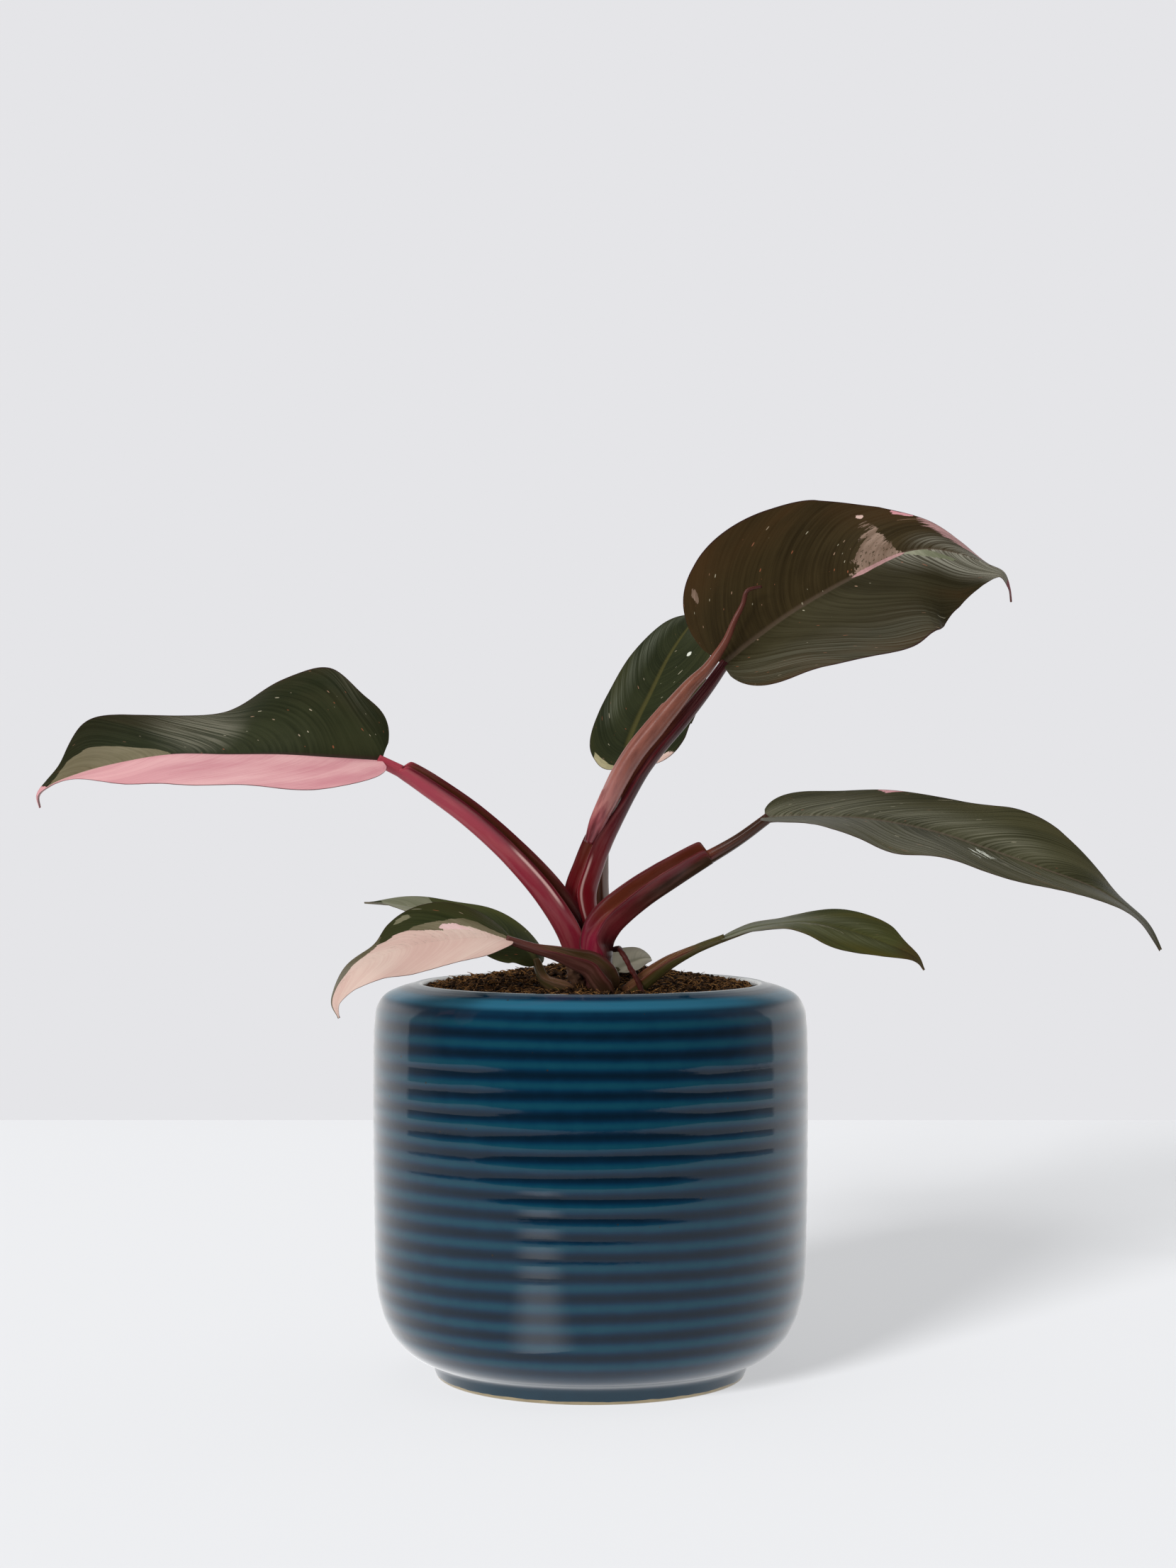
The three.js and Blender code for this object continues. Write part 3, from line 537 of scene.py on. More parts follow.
def blade_half(curve, half, side, share, reach):
    """Points of one half of a blade's middle surface, and their distance from the midrib.
    Side is 1 for the right half and -1 for the left one."""
    points = curve.points
    heading = (points[-1] - points[0]) * [1, 1, 0]
    rightward = np.cross(unit(heading), UP)
    sweep = np.radians(half["base"] + (VEIN_SWEEP_AT_TIP - half["base"]) * np.sqrt(share))
    width = half["width"] * width_share(share, half["point"]) * soft_values(half["trim"], share)
    along = share * curve.length + width * np.tan(sweep) * reach ** VEIN_BEND
    distance = width * reach
    clamped = np.clip(along / curve.length, 0, 1)
    place = curve.place_of(clamped)
    tangent = curve.tangent_at_place(place)
    origin = curve.at_place(place) + tangent * (along - clamped * curve.length)[..., None]
    across = unit(rightward - tangent * (tangent @ rightward)[..., None])
    high = np.cross(across, tangent)
    angle = np.radians(soft_values(half["rise"], clamped))
    bend = math.radians(half["curl"]) / half["width"]
    out = (np.sin(angle + bend * distance) - np.sin(angle)) / bend
    lift = (np.cos(angle) - np.cos(angle + bend * distance)) / bend
    return origin + across * (side * out)[..., None] + high * lift[..., None], side * distance


def blade_surface(leaf, rows, half_columns):
    """A blade's middle surface as a grid, with its share and reach and its size along and across."""
    curve = Curve(leaf["midrib"])
    spread = 0.5 - 0.5 * np.cos(np.linspace(0, math.pi, rows))
    share = (BLADE_START + (BLADE_END - BLADE_START) * spread)[:, None]
    reach = np.sin(np.linspace(0, math.pi / 2, half_columns + 1))[None, :]
    far, far_distance = blade_half(curve, leaf["right"], 1, share + 0 * reach, reach + 0 * share)
    near, near_distance = blade_half(curve, leaf["left"], -1, share + 0 * reach, reach + 0 * share)
    grid = np.concatenate([near[:, :0:-1], far], 1)
    distance = np.concatenate([near_distance[:, :0:-1], far_distance], 1)
    signed_reach = np.concatenate([-reach[0, :0:-1], reach[0]])[None, :] + 0 * share
    return grid, share + 0 * signed_reach, signed_reach, distance, curve.length


def blade_piece(name, leaf, look, rows, half_columns, seed):
    """A leaf blade with its veins and its midrib, in relief on both faces, and a thin margin."""
    grid, share, reach, distance, length = blade_surface(leaf, rows, half_columns)
    draw = random.Random(seed)
    phase = [draw.uniform(0, 2 * math.pi) for _ in range(6)]
    along = share * length
    reach_size = np.abs(reach)
    lean = np.where(reach < 0, *look["lean"])
    vein_place = (share - lean * reach_size ** VEIN_ARCH) * length

    def grid_normals(surface):
        down = np.gradient(surface, axis=0)
        across = np.gradient(surface, axis=1)
        return unit(np.cross(across, down))

    normals = grid_normals(grid)
    # Low waves across the blade, which grow toward the margin.
    waves = 0.45 * np.sin(along / 9 + phase[0]) * np.sin(reach * 2 + phase[1])
    waves += 0.3 * np.sin(along / 5.3 + phase[2] + reach)
    grid = grid + normals * (waves * reach_size ** 1.5 * smooth_step(0, 0.15, share))[..., None]
    normals = grid_normals(grid)

    fade = smooth_step(0.0, 0.12, reach_size) * (1 - 0.75 * reach_size) * smooth_step(0.02, 0.1, share)
    fade *= 1 - smooth_step(0.75, 0.97, share)
    vein_phase = vein_place / VEIN_SPACING + 0.35 * np.sin(vein_place / 17 + phase[3]) + 0.5 * (reach > 0)
    to_vein = np.abs(vein_phase - np.round(vein_phase)) * 2
    vein = np.exp(-(to_vein / 0.35) ** 2)
    quilting = QUILTING * (1 - vein) * fade

    rib_width = 0.55 + 0.9 * (1 - share)
    rib = np.exp(-(distance / rib_width) ** 2)
    stalk_radius = leaf["stalk"][0][3]
    height_at_stalk = 0.95 * stalk_radius
    rib_height = MIDRIB_HEIGHT_AT_TIP + (height_at_stalk - MIDRIB_HEIGHT_AT_TIP) * (1 - share) ** 2.2
    groove = MIDRIB_GROOVE * rib * (1 - 0.7 * share)
    thickness = MARGIN_THICKNESS + ADDED_THICKNESS * (1 - reach_size ** 3)
    top = grid + normals * (thickness / 2 + quilting - groove)[..., None]
    under_depth = thickness / 2 - quilting + VEIN_RELIEF * vein * fade + rib_height * rib
    under = grid - normals * under_depth[..., None]

    count_rows, count_columns = share.shape
    index = np.arange(count_rows * count_columns).reshape(count_rows, count_columns)
    size = index.size
    a, b, c, d = index[:-1, :-1], index[:-1, 1:], index[1:, 1:], index[1:, :-1]
    over = np.stack([a, b, c, d], -1).reshape(-1, 4)
    beneath = np.stack([d, c, b, a], -1).reshape(-1, 4) + size
    rim = np.concatenate([index[0, :-1], index[:-1, -1], index[-1, :0:-1], index[:0:-1, 0]])
    following = np.roll(rim, -1)
    sides = np.stack([following, rim, rim + size, following + size], -1)
    faces = [tuple(face) for face in np.concatenate([over, beneath, sides]).tolist()]
    points = np.concatenate([top.reshape(-1, 3), under.reshape(-1, 3)])
    face_mark = np.concatenate([np.ones(size), np.zeros(size)])
    both_faces = [np.tile(values.ravel(), 2) for values in (share, reach, vein_place, distance)]
    place = np.stack([*both_faces[:2], face_mark], 1)
    spot = np.stack([*both_faces[2:], np.full(2 * size, seed * 37.0)], 1)
    return make_piece(f"leaf_{name}", points, outward(points, faces), f"blade_{name}", "leaf",
                      blade_material(name, look), place=place, spot=spot)


# Materials

def colour(text):
    """A linear colour from its usual hexadecimal form."""
    values = [int(text[k:k + 2], 16) / 255 for k in (1, 3, 5)]
    linear = [v / 12.92 if v <= 0.04045 else ((v + 0.055) / 1.055) ** 2.4 for v in values]
    return (*linear, 1)


class Shade:
    """Builds a node material step by step. A colour may be given in its hexadecimal form."""

    def __init__(self, name, roughness=0.5, specular=0.5):
        self.material = bpy.data.materials.new(name)
        self.material.use_nodes = True
        self.tree = self.material.node_tree
        self.surface = self.tree.nodes["Principled BSDF"]
        self.surface.inputs["Roughness"].default_value = roughness
        self.surface.inputs["Specular IOR Level"].default_value = specular

    def put(self, socket, value):
        if isinstance(value, bpy.types.NodeSocket):
            self.tree.links.new(value, socket)
        else:
            socket.default_value = colour(value) if isinstance(value, str) else value

    def field(self, name):
        node = self.tree.nodes.new("ShaderNodeAttribute")
        node.attribute_name = name
        return node.outputs["Vector"]

    def object_place(self):
        return self.tree.nodes.new("ShaderNodeTexCoord").outputs["Object"]

    def parts(self, vector):
        node = self.tree.nodes.new("ShaderNodeSeparateXYZ")
        self.put(node.inputs[0], vector)
        return node.outputs

    def vector(self, x, y, z):
        node = self.tree.nodes.new("ShaderNodeCombineXYZ")
        for socket, value in zip(node.inputs, (x, y, z)):
            self.put(socket, value)
        return node.outputs[0]

    def maths(self, operation, *values):
        node = self.tree.nodes.new("ShaderNodeMath")
        node.operation = operation
        for socket, value in zip(node.inputs, values):
            self.put(socket, value)
        return node.outputs[0]

    def plus(self, first, second):
        return self.maths("ADD", first, second)

    def minus(self, first, second):
        return self.maths("SUBTRACT", first, second)

    def rest(self, value):
        """What is left of 1."""
        return self.maths("SUBTRACT", 1.0, value)

    def times(self, *values):
        product = values[0]
        for value in values[1:]:
            product = self.maths("MULTIPLY", product, value)
        return product

    def scaled(self, value, factor, offset):
        return self.maths("MULTIPLY_ADD", value, factor, offset)

    def below(self, value, limit):
        return self.maths("LESS_THAN", value, limit)

    def step(self, value, low, high):
        """0 at low and 1 at high, with a smooth way between; low may be the greater one."""
        node = self.tree.nodes.new("ShaderNodeMapRange")
        node.interpolation_type = "SMOOTHSTEP"
        self.put(node.inputs["Value"], value)
        self.put(node.inputs["From Min"], low)
        self.put(node.inputs["From Max"], high)
        return node.outputs[0]

    def noise(self, place, scale, detail=2.0, roughness=0.5):
        node = self.tree.nodes.new("ShaderNodeTexNoise")
        self.put(node.inputs["Vector"], place)
        node.inputs["Scale"].default_value = scale
        node.inputs["Detail"].default_value = detail
        node.inputs["Roughness"].default_value = roughness
        return node.outputs["Fac"]

    def ring(self, around, radius, along):
        """A place on a tube, for noise that has no seam."""
        angle = self.times(around, 2 * math.pi)
        x = self.times(self.maths("COSINE", angle), radius)
        y = self.times(self.maths("SINE", angle), radius)
        return self.vector(x, y, along)

    def cells(self, place, scale):
        """The distance from the middle of a cell, and a random colour for each cell."""
        node = self.tree.nodes.new("ShaderNodeTexVoronoi")
        self.put(node.inputs["Vector"], place)
        node.inputs["Scale"].default_value = scale
        return node.outputs["Distance"], node.outputs["Color"]

    def mix(self, share, first, second):
        node = self.tree.nodes.new("ShaderNodeMix")
        node.data_type = "RGBA"
        for index, value in ((0, share), (6, first), (7, second)):
            self.put(node.inputs[index], value)
        return node.outputs[2]

    def ramp(self, value, stops):
        node = self.tree.nodes.new("ShaderNodeValToRGB")
        self.put(node.inputs[0], value)
        elements = node.color_ramp.elements
        stops = [(place, colour(tint) if isinstance(tint, str) else tint) for place, tint in stops]
        elements[0].position, elements[0].color = stops[0]
        elements[1].position, elements[1].color = stops[-1]
        for place, tint in stops[1:-1]:
            elements.new(place).color = tint
        return node.outputs[0]

    def bump(self, height, strength, distance_mm):
        node = self.tree.nodes.new("ShaderNodeBump")
        node.inputs["Strength"].default_value = strength
        node.inputs["Distance"].default_value = distance_mm * MM
        self.put(node.inputs["Height"], height)
        self.put(self.surface.inputs["Normal"], node.outputs[0])

    def finish(self, base, roughness=None):
        self.put(self.surface.inputs["Base Color"], base)
        if roughness is not None:
            self.put(self.surface.inputs["Roughness"], roughness)
        return self.material


# Colours as pairs, between which streaks and clouds vary.
BROWN_GREEN = ("#2b2211", "#42361d")
MOSS_GREEN = ("#2a2514", "#423d28")
BLACK_GREEN = ("#1f2414", "#363a22")
DARK_GREEN = ("#232b14", "#3d4322")
OLIVE_GREEN = ("#3a3e20", "#64663c")
GREY_GREEN = ("#2c2c18", "#55533a")
PALE_GREEN = ("#a09b87", "#bdb7a2")
PINK = ("#e9b3b4", "#d28e96")
DULL_PINK = ("#c99a98", "#9c7674")
CREAM_PINK = ("#e4cbbd", "#d6b2a6")
GREY_PINK = ("#a38a79", "#6d5746")
SAGE = ("#857c62", "#676046")
PALE_SAGE = ("#8f8a6e", "#757356")
LEAF_SAGE = ("#999982", "#6f7258")
CREAM = ("#b3aa84", "#8f8762")
WHITE = ("#e4e6da", "#c9ccbc")

MIDRIB = -1
MARGIN = 2

# What each blade shows: the greens of its left and right half, the warm tone toward its margin, its
# sheen, the lean of the veins of its two halves, its painted sheen and tints, and its patches. The
# painted sheen is zones of pale threads along the veins, painted into the colour as painted
# highlights; low_right's brown zone at its tip is the tip's own tint instead. A zone of painted sheen
# or tint, or a patch, lies on one half and has rows of share and of the least and greatest reach
# covered there. A patch also has how ragged its edges are.
# Shares run from the stalk to the tip, and reaches from the midrib to the margin.
BLADE_LOOKS = {
    "top_right": {
        "greens": (BROWN_GREEN, MOSS_GREEN), "warm": "#472f17", "midrib": "#5a4a3c",
        "sheen": 0.2, "lean": (0.2, 0.36),
        "patches": [
            ("left", GREY_PINK, 0.55, [
                (0.455, MIDRIB, 0.0), (0.508, MIDRIB, 0.66), (0.518, MIDRIB, 0.71), (0.53, MIDRIB, 0.6),
                (0.55, MIDRIB, 0.43), (0.572, MIDRIB, 0.22), (0.6, MIDRIB, 0.0),
            ]),
            ("left", PINK, 0.1, [
                (0.542, 0.97, 1), (0.55, 0.93, 0.99), (0.585, 0.94, 1), (0.594, 0.97, 1),
            ]),
            ("left", DULL_PINK, 0.4, [
                (0.6, 1, MARGIN), (0.625, 0.88, MARGIN), (0.66, 0.78, MARGIN), (0.7, 0.7, MARGIN),
                (0.75, 0.64, MARGIN), (0.8, 0.72, MARGIN), (0.88, 1, MARGIN),
            ]),
            ("both", DULL_PINK, 0.02, [
                (0.44, MIDRIB, 0.0), (0.47, MIDRIB, 0.03), (0.59, MIDRIB, 0.025), (0.61, MIDRIB, 0.0),
            ]),
            ("right", LEAF_SAGE, 0.1, [
                (0.6, MIDRIB, 0.02), (0.63, MIDRIB, 0.1), (0.67, 0.02, 0.15), (0.7, 0.07, 0.19),
                (0.735, 0.15, 0.22), (0.75, 0.2, 0.2),
            ]),
            ("left", GREY_PINK, 0.1, [
                (0.062, 0.8, 0.82), (0.066, 0.75, 0.88), (0.075, 0.78, 0.9), (0.08, 0.87, 0.88),
            ]),
            ("left", CREAM_PINK, 0.05, [
                (0.474, 0.81, 0.83), (0.48, 0.79, 0.84), (0.49, 0.79, 0.85), (0.496, 0.82, 0.84),
            ]),
            ("both", ("#8a4448", "#6a2632"), 0.1, [(0.93, MIDRIB, MARGIN), (1, MIDRIB, MARGIN)]),
        ],
        "painted_sheen_and_tints": [
            ("right", "#aaa797", 0.8, [
                (0.5, MIDRIB, 0.0), (0.65, MIDRIB, 0.25), (0.8, MIDRIB, 0.7), (1, MIDRIB, MARGIN),
            ]),
            ("right", "#6d6c5c", 0.45, [
                (0.0, 0.3, 0.8), (0.2, 0.6, 1.1), (0.45, 0.7, 1.1), (0.6, 1, 1.1),
            ]),
            ("left", "#9d9a8a", 0.6, [(0.58, 0.2, 0.4), (0.75, 0.1, 0.6), (1, MIDRIB, 0.7)]),
        ],
    },
    "back": {
        "greens": (BLACK_GREEN, BLACK_GREEN), "warm": "#3a3a1c", "midrib": "#565026",
        "sheen": 0.1, "lean": (0.25, 0.25),
        "patches": [
            ("left", CREAM, 0.25, [
                (0.0, 0.7, MARGIN), (0.03, 0.76, MARGIN), (0.08, 0.84, 0.96), (0.1, 0.9, 0.92),
            ]),
            ("right", CREAM_PINK, 0.2, [(0.0, 0.66, MARGIN), (0.03, 0.76, MARGIN), (0.05, 0.9, MARGIN)]),
            ("right", WHITE, 0.0, [
                (0.515, 0.5, 0.53), (0.52, 0.47, 0.56), (0.535, 0.47, 0.56), (0.54, 0.5, 0.53),
            ]),
        ],
        "painted_sheen_and_tints": [("left", "#7c8070", 0.4, [(0.15, 0.6, 0.8), (0.5, 0.6, 0.9), (0.9, 0.7, 0.9)])],
    },
    "left": {
        "greens": (BLACK_GREEN, BLACK_GREEN), "warm": "#3a2f1e", "midrib": "#3b2424",
        "sheen": 0.22, "lean": (0.2, 0.2),
        "patches": [
            ("left", PINK, 0.0, [(0, MIDRIB, MARGIN), (1, MIDRIB, MARGIN)]),
            ("left", CREAM_PINK, 0.3, [(0.76, MIDRIB, 0.0), (0.86, MIDRIB, 0.2), (0.93, MIDRIB, 0.4)]),
            ("right", SAGE, 0.06, [
                (0.575, MIDRIB, 0.0), (0.608, MIDRIB, 0.2), (0.646, MIDRIB, 0.29), (0.692, MIDRIB, 0.42),
                (0.73, MIDRIB, 0.525), (0.761, MIDRIB, 0.63), (0.796, MIDRIB, 0.68), (0.826, MIDRIB, 0.78),
                (0.865, MIDRIB, 0.7), (0.911, MIDRIB, 0.2), (0.93, MIDRIB, 0.0),
            ]),
            ("both", PINK, 0.1, [(0.93, MIDRIB, MARGIN), (1, MIDRIB, MARGIN)]),
        ],
        "painted_sheen_and_tints": [
            ("right", "#8d8977", 0.6, [
                (0.3, 0.9, 1.1), (0.36, 0.5, 1.1), (0.44, 0.2, 1.1), (0.54, 0.1, 0.9), (0.62, 0.3, 0.7),
            ]),
            ("right", "#7d7a6a", 0.4, [(0.02, 0.5, 1.1), (0.08, 0.8, 1.1), (0.2, 1, 1.1)]),
        ],
    },
    "right": {
        "greens": (GREY_GREEN, GREY_GREEN), "warm": "#4a4428", "midrib": "#66574a",
        "sheen": 0.16, "lean": (0.24, 0.24),
        "patches": [
            ("left", PINK, 0.1, [
                (0.2, 0.98, MARGIN), (0.215, 0.93, MARGIN), (0.225, 0.9, MARGIN), (0.24, 0.96, MARGIN),
                (0.27, 1.02, MARGIN),
            ]),
            ("right", WHITE, 1.2, [(0.515, 0.35, 0.36), (0.53, 0.32, 0.36), (0.55, 0.35, 0.36)]),
        ],
        "painted_sheen_and_tints": [
            ("left", "#8a8874", 0.5, [
                (0.0, MIDRIB, 0.6), (0.2, 0.1, 0.7), (0.5, 0.1, 0.5), (0.7, 0.2, 0.4),
            ]),
            ("right", "#77756a", 0.5, [
                (0.0, MIDRIB, 1.1), (0.3, 0.1, 1.1), (0.7, 0.2, 0.9), (0.95, 0.3, 0.7),
            ]),
        ],
    },
    "front_left": {
        "greens": (DARK_GREEN, DARK_GREEN), "warm": "#3c3a1e", "midrib": "#d9bba9",
        "sheen": 0.2, "lean": (0.22, 0.22),
        "patches": [
            ("left", CREAM_PINK, 0.0, [(0, MIDRIB, MARGIN), (1, MIDRIB, MARGIN)]),
            ("right", SAGE, 0.12, [
                (0.0, MIDRIB, 0.2), (0.067, MIDRIB, 0.34), (0.121, MIDRIB, 0.49), (0.163, MIDRIB, 0.56),
                (0.244, MIDRIB, 0.51), (0.309, MIDRIB, 0.525), (0.382, MIDRIB, 0.56), (0.428, MIDRIB, 0.54),
                (0.462, MIDRIB, 0.64), (0.52, MIDRIB, 0.5),
            ]),
            ("right", CREAM_PINK, 0.12, [
                (0.0, MIDRIB, 0.03), (0.086, MIDRIB, 0.136), (0.178, MIDRIB, 0.34), (0.27, MIDRIB, 0.39),
                (0.285, MIDRIB, 0.24), (0.351, MIDRIB, 0.35), (0.408, MIDRIB, 0.525), (0.462, MIDRIB, 0.644),
                (0.512, MIDRIB, 0.712), (0.543, MIDRIB, 0.847), (0.585, MIDRIB, MARGIN), (1, MIDRIB, MARGIN),
            ]),
            ("right", ("#efcdca", "#e2b6b2"), 0.2, [
                (0.16, 0.2, 0.24), (0.22, 0.24, 0.4), (0.27, 0.26, 0.42), (0.29, 0.3, 0.36),
            ]),
            ("right", ("#6d6650", "#565137"), 0.15, [
                (0.5, 0.94, MARGIN), (0.57, 0.78, MARGIN), (0.64, 0.55, MARGIN), (0.765, 0.42, MARGIN),
                (0.849, 0.44, MARGIN), (1, 0.55, MARGIN),
            ]),
            ("right", PALE_SAGE, 0.2, [
                (0.34, 0.86, 0.9), (0.36, 0.8, 0.93), (0.4, 0.82, 0.93), (0.42, 0.88, 0.9),
            ]),
        ],
        "painted_sheen_and_tints": [],
    },
    "low_left": {
        "greens": (DARK_GREEN, DARK_GREEN), "warm": "#4a4c20", "midrib": "#5c5c34",
        "sheen": 0.15, "lean": (0.2, 0.2),
        "patches": [
            ("right", LEAF_SAGE, 0.1, [
                (0.62, MIDRIB, 0.0), (0.66, MIDRIB, MARGIN), (0.9, MIDRIB, MARGIN),
            ]),
            ("left", LEAF_SAGE, 0.1, [(0.62, MIDRIB, 0.0), (0.68, MIDRIB, MARGIN), (1, MIDRIB, MARGIN)]),
        ],
        "painted_sheen_and_tints": [],
    },
    "low_right": {
        "greens": (OLIVE_GREEN, OLIVE_GREEN), "warm": "#5a5018", "midrib": "#5c5c34",
        "sheen": 0.16, "lean": (0.3, 0.3),
        "patches": [
            ("right", PALE_SAGE, 0.5, [
                (0.36, 0.02, 0.06), (0.42, 0.04, 0.2), (0.5, 0.1, 0.2), (0.56, 0.2, 0.22),
            ]),
        ],
        "painted_sheen_and_tints": [
            # The tip's own brown tint; the zones after it are painted sheen.
            ("both", "#573a1c", 0.95, [(0.78, MIDRIB, MARGIN), (1, MIDRIB, MARGIN)]),
            ("left", "#85886a", 0.45, [
                (0.0, 0.2, 0.5), (0.4, 0.1, 0.6), (0.6, 0.2, 0.5), (0.8, 0.3, 0.4),
            ]),
            ("right", "#85886a", 0.45, [(0.0, 0.2, 0.6), (0.5, 0.2, 0.6), (0.85, 0.2, 0.4)]),
        ],
    },
    "low_back": {
        "greens": (PALE_GREEN, PALE_GREEN), "warm": "#8e8675", "midrib": "#8e8c74",
        "sheen": 0.2, "lean": (0.2, 0.2),
        "patches": [],
        "painted_sheen_and_tints": [],
    },
}


# Past its rows' ends a patch stops within the first of these shares, and inside its own ends a zone of
# a blade's painted sheen and tints fades in over the second. The last is the range of the reaches in the
# rows.
PATCH_END = 0.002
SHEEN_AND_TINT_FADE = 0.12
REACH_SPAN = MARGIN - MIDRIB

SPECK_TINTS = ("#96573a", "#b3ab92")
MARGIN_TINT = "#35141d"
UNDERSIDE_TINTS = ("#4a3524", "#6b5238")


def patch_share(shade, share, out, rows, ragged, soft=0.006):
    """How much a patch covers a point, where out is its reach on the patch's half."""
    def encoded(at, low, high):
        return at, ((low - MIDRIB) / REACH_SPAN, (high - MIDRIB) / REACH_SPAN, 0, 1)

    def decoded(value):
        return shade.scaled(value, float(REACH_SPAN), float(MIDRIB))

    stops = [encoded(*row) for row in rows]
    first, last = rows[0][0], rows[-1][0]
    if first > 0:
        stops.insert(0, encoded(first - PATCH_END, MARGIN, MIDRIB))
    if last < 1:
        stops.append(encoded(last + PATCH_END, MARGIN, MIDRIB))
    low, high, _ = shade.parts(shade.ramp(share, stops))
    past_low = shade.minus(out, decoded(low))
    to_high = shade.minus(decoded(high), out)
    inward = shade.plus(shade.maths("MINIMUM", past_low, to_high), ragged)
    on_half = shade.step(out, -0.004, 0.004)
    return shade.times(shade.step(inward, -soft, soft), on_half)


def blade_material(name, look):
    shade = Shade(f"{name}_blade", roughness=0.4, specular=look["sheen"])
    share, reach, face = shade.parts(shade.field("place"))
    vein, across, seed = shade.parts(shade.field("spot"))
    off_midrib = shade.maths("ABSOLUTE", across)
    off_middle = shade.maths("ABSOLUTE", reach)

    def along_veins(detail, fine, long, roughness=0.5):
        """Noise that is drawn out along the veins, fine across them and long along them."""
        place = shade.vector(shade.times(vein, fine), shade.times(across, long), seed)
        return shade.noise(place, 1.0, detail, roughness)

    # The greens, streaked along the veins, with a warm tone toward the margin.
    streaks = along_veins(3.0, 0.8, 0.03, 0.6)
    bands = along_veins(2.0, 0.2, 0.03)
    clouds = along_veins(3.0, 0.05, 0.05)
    tone = shade.plus(shade.times(streaks, 0.5), shade.times(bands, 0.1))
    tone = shade.plus(tone, shade.times(clouds, 0.4))
    lightness = shade.step(tone, 0.3, 0.7)
    halves = [shade.mix(lightness, dark, light) for dark, light in look["greens"]]
    base = shade.mix(shade.step(reach, -0.02, 0.02), *halves)
    glow = shade.times(shade.step(off_middle, 0.45, 1.0), shade.step(clouds, 0.3, 0.7))
    base = shade.mix(shade.times(glow, 0.7), base, look["warm"])

    # Small pale specks, longer along the veins.
    speck_place = shade.vector(shade.times(vein, 0.6), shade.times(across, 0.3), seed)
    speck_distance, speck_tint = shade.cells(speck_place, 1.0)
    chance, tint, _ = shade.parts(speck_tint)
    speck = shade.below(speck_distance, shade.times(shade.step(chance, 0.55, 1.0), 0.17))
    speck_colour = shade.mix(shade.step(tint, 0.3, 0.7), *SPECK_TINTS)
    base = shade.mix(shade.times(speck, 0.8), base, speck_colour)

    # The midrib is a soft line, and the painted sheen, the tints and the patches lie over it.
    midrib_width = shade.scaled(share, -1.1, 1.5)
    off_line = shade.maths("DIVIDE", off_midrib, midrib_width)
    midrib_line = shade.rest(shade.step(off_line, 0.3, 1.2))
    base = shade.mix(shade.times(midrib_line, 0.6), base, look["midrib"])

    side_reach = {"left": shade.times(reach, -1.0), "right": reach, "both": off_middle}
    # Painted sheen: pale threads along the veins, painted into the colour as highlights. Low_right's brown
    # tip zone uses the same threads for its own tint.
    threads = shade.scaled(shade.step(streaks, 0.4, 0.62), 0.85, 0.15)
    for half, tint, strength, rows in look["painted_sheen_and_tints"]:
        covered = patch_share(shade, share, side_reach[half], rows, 0.0, 0.25)
        first, last = rows[0][0], rows[-1][0]
        if first > 0:
            covered = shade.times(covered, shade.step(share, first, first + SHEEN_AND_TINT_FADE))
        if last < 1:
            covered = shade.times(covered, shade.rest(shade.step(share, last - SHEEN_AND_TINT_FADE, last)))
        base = shade.mix(shade.times(covered, threads, strength), base, tint)

    # Patches with an edge that is combed along the veins, and flecked where it is ragged.
    comb = shade.minus(along_veins(4.0, 0.36, 0.22, 0.75), 0.5)
    flecks = shade.step(along_veins(2.0, 1.1, 0.8), 0.42, 0.34)
    mottle = shade.plus(shade.times(clouds, 0.65), shade.times(streaks, 0.35))
    for half, (pale, deep), ragged, rows in look["patches"]:
        uneven = shade.times(comb, ragged)
        place = shade.scaled(uneven, 0.25, share)
        covered = patch_share(shade, place, side_reach[half], rows, uneven)
        covered = shade.times(covered, shade.scaled(flecks, -min(1, 1.5 * ragged), 1.0))
        base = shade.mix(covered, base, shade.mix(shade.step(mottle, 0.32, 0.66), pale, deep))

    margin = shade.step(off_middle, 0.982, 0.996)
    base = shade.mix(shade.times(margin, 0.72), base, MARGIN_TINT)

    # The underside is duller and redder.
    under = shade.mix(shade.step(tone, 0.3, 0.7), *UNDERSIDE_TINTS)
    base = shade.mix(face, shade.mix(0.55, base, under), base)

    grain = along_veins(2.0, 3.0, 0.5)
    shade.bump(shade.plus(shade.times(grain, 0.25), streaks), 0.5, 0.2)
    return shade.finish(base, shade.scaled(streaks, 0.5, 0.15))


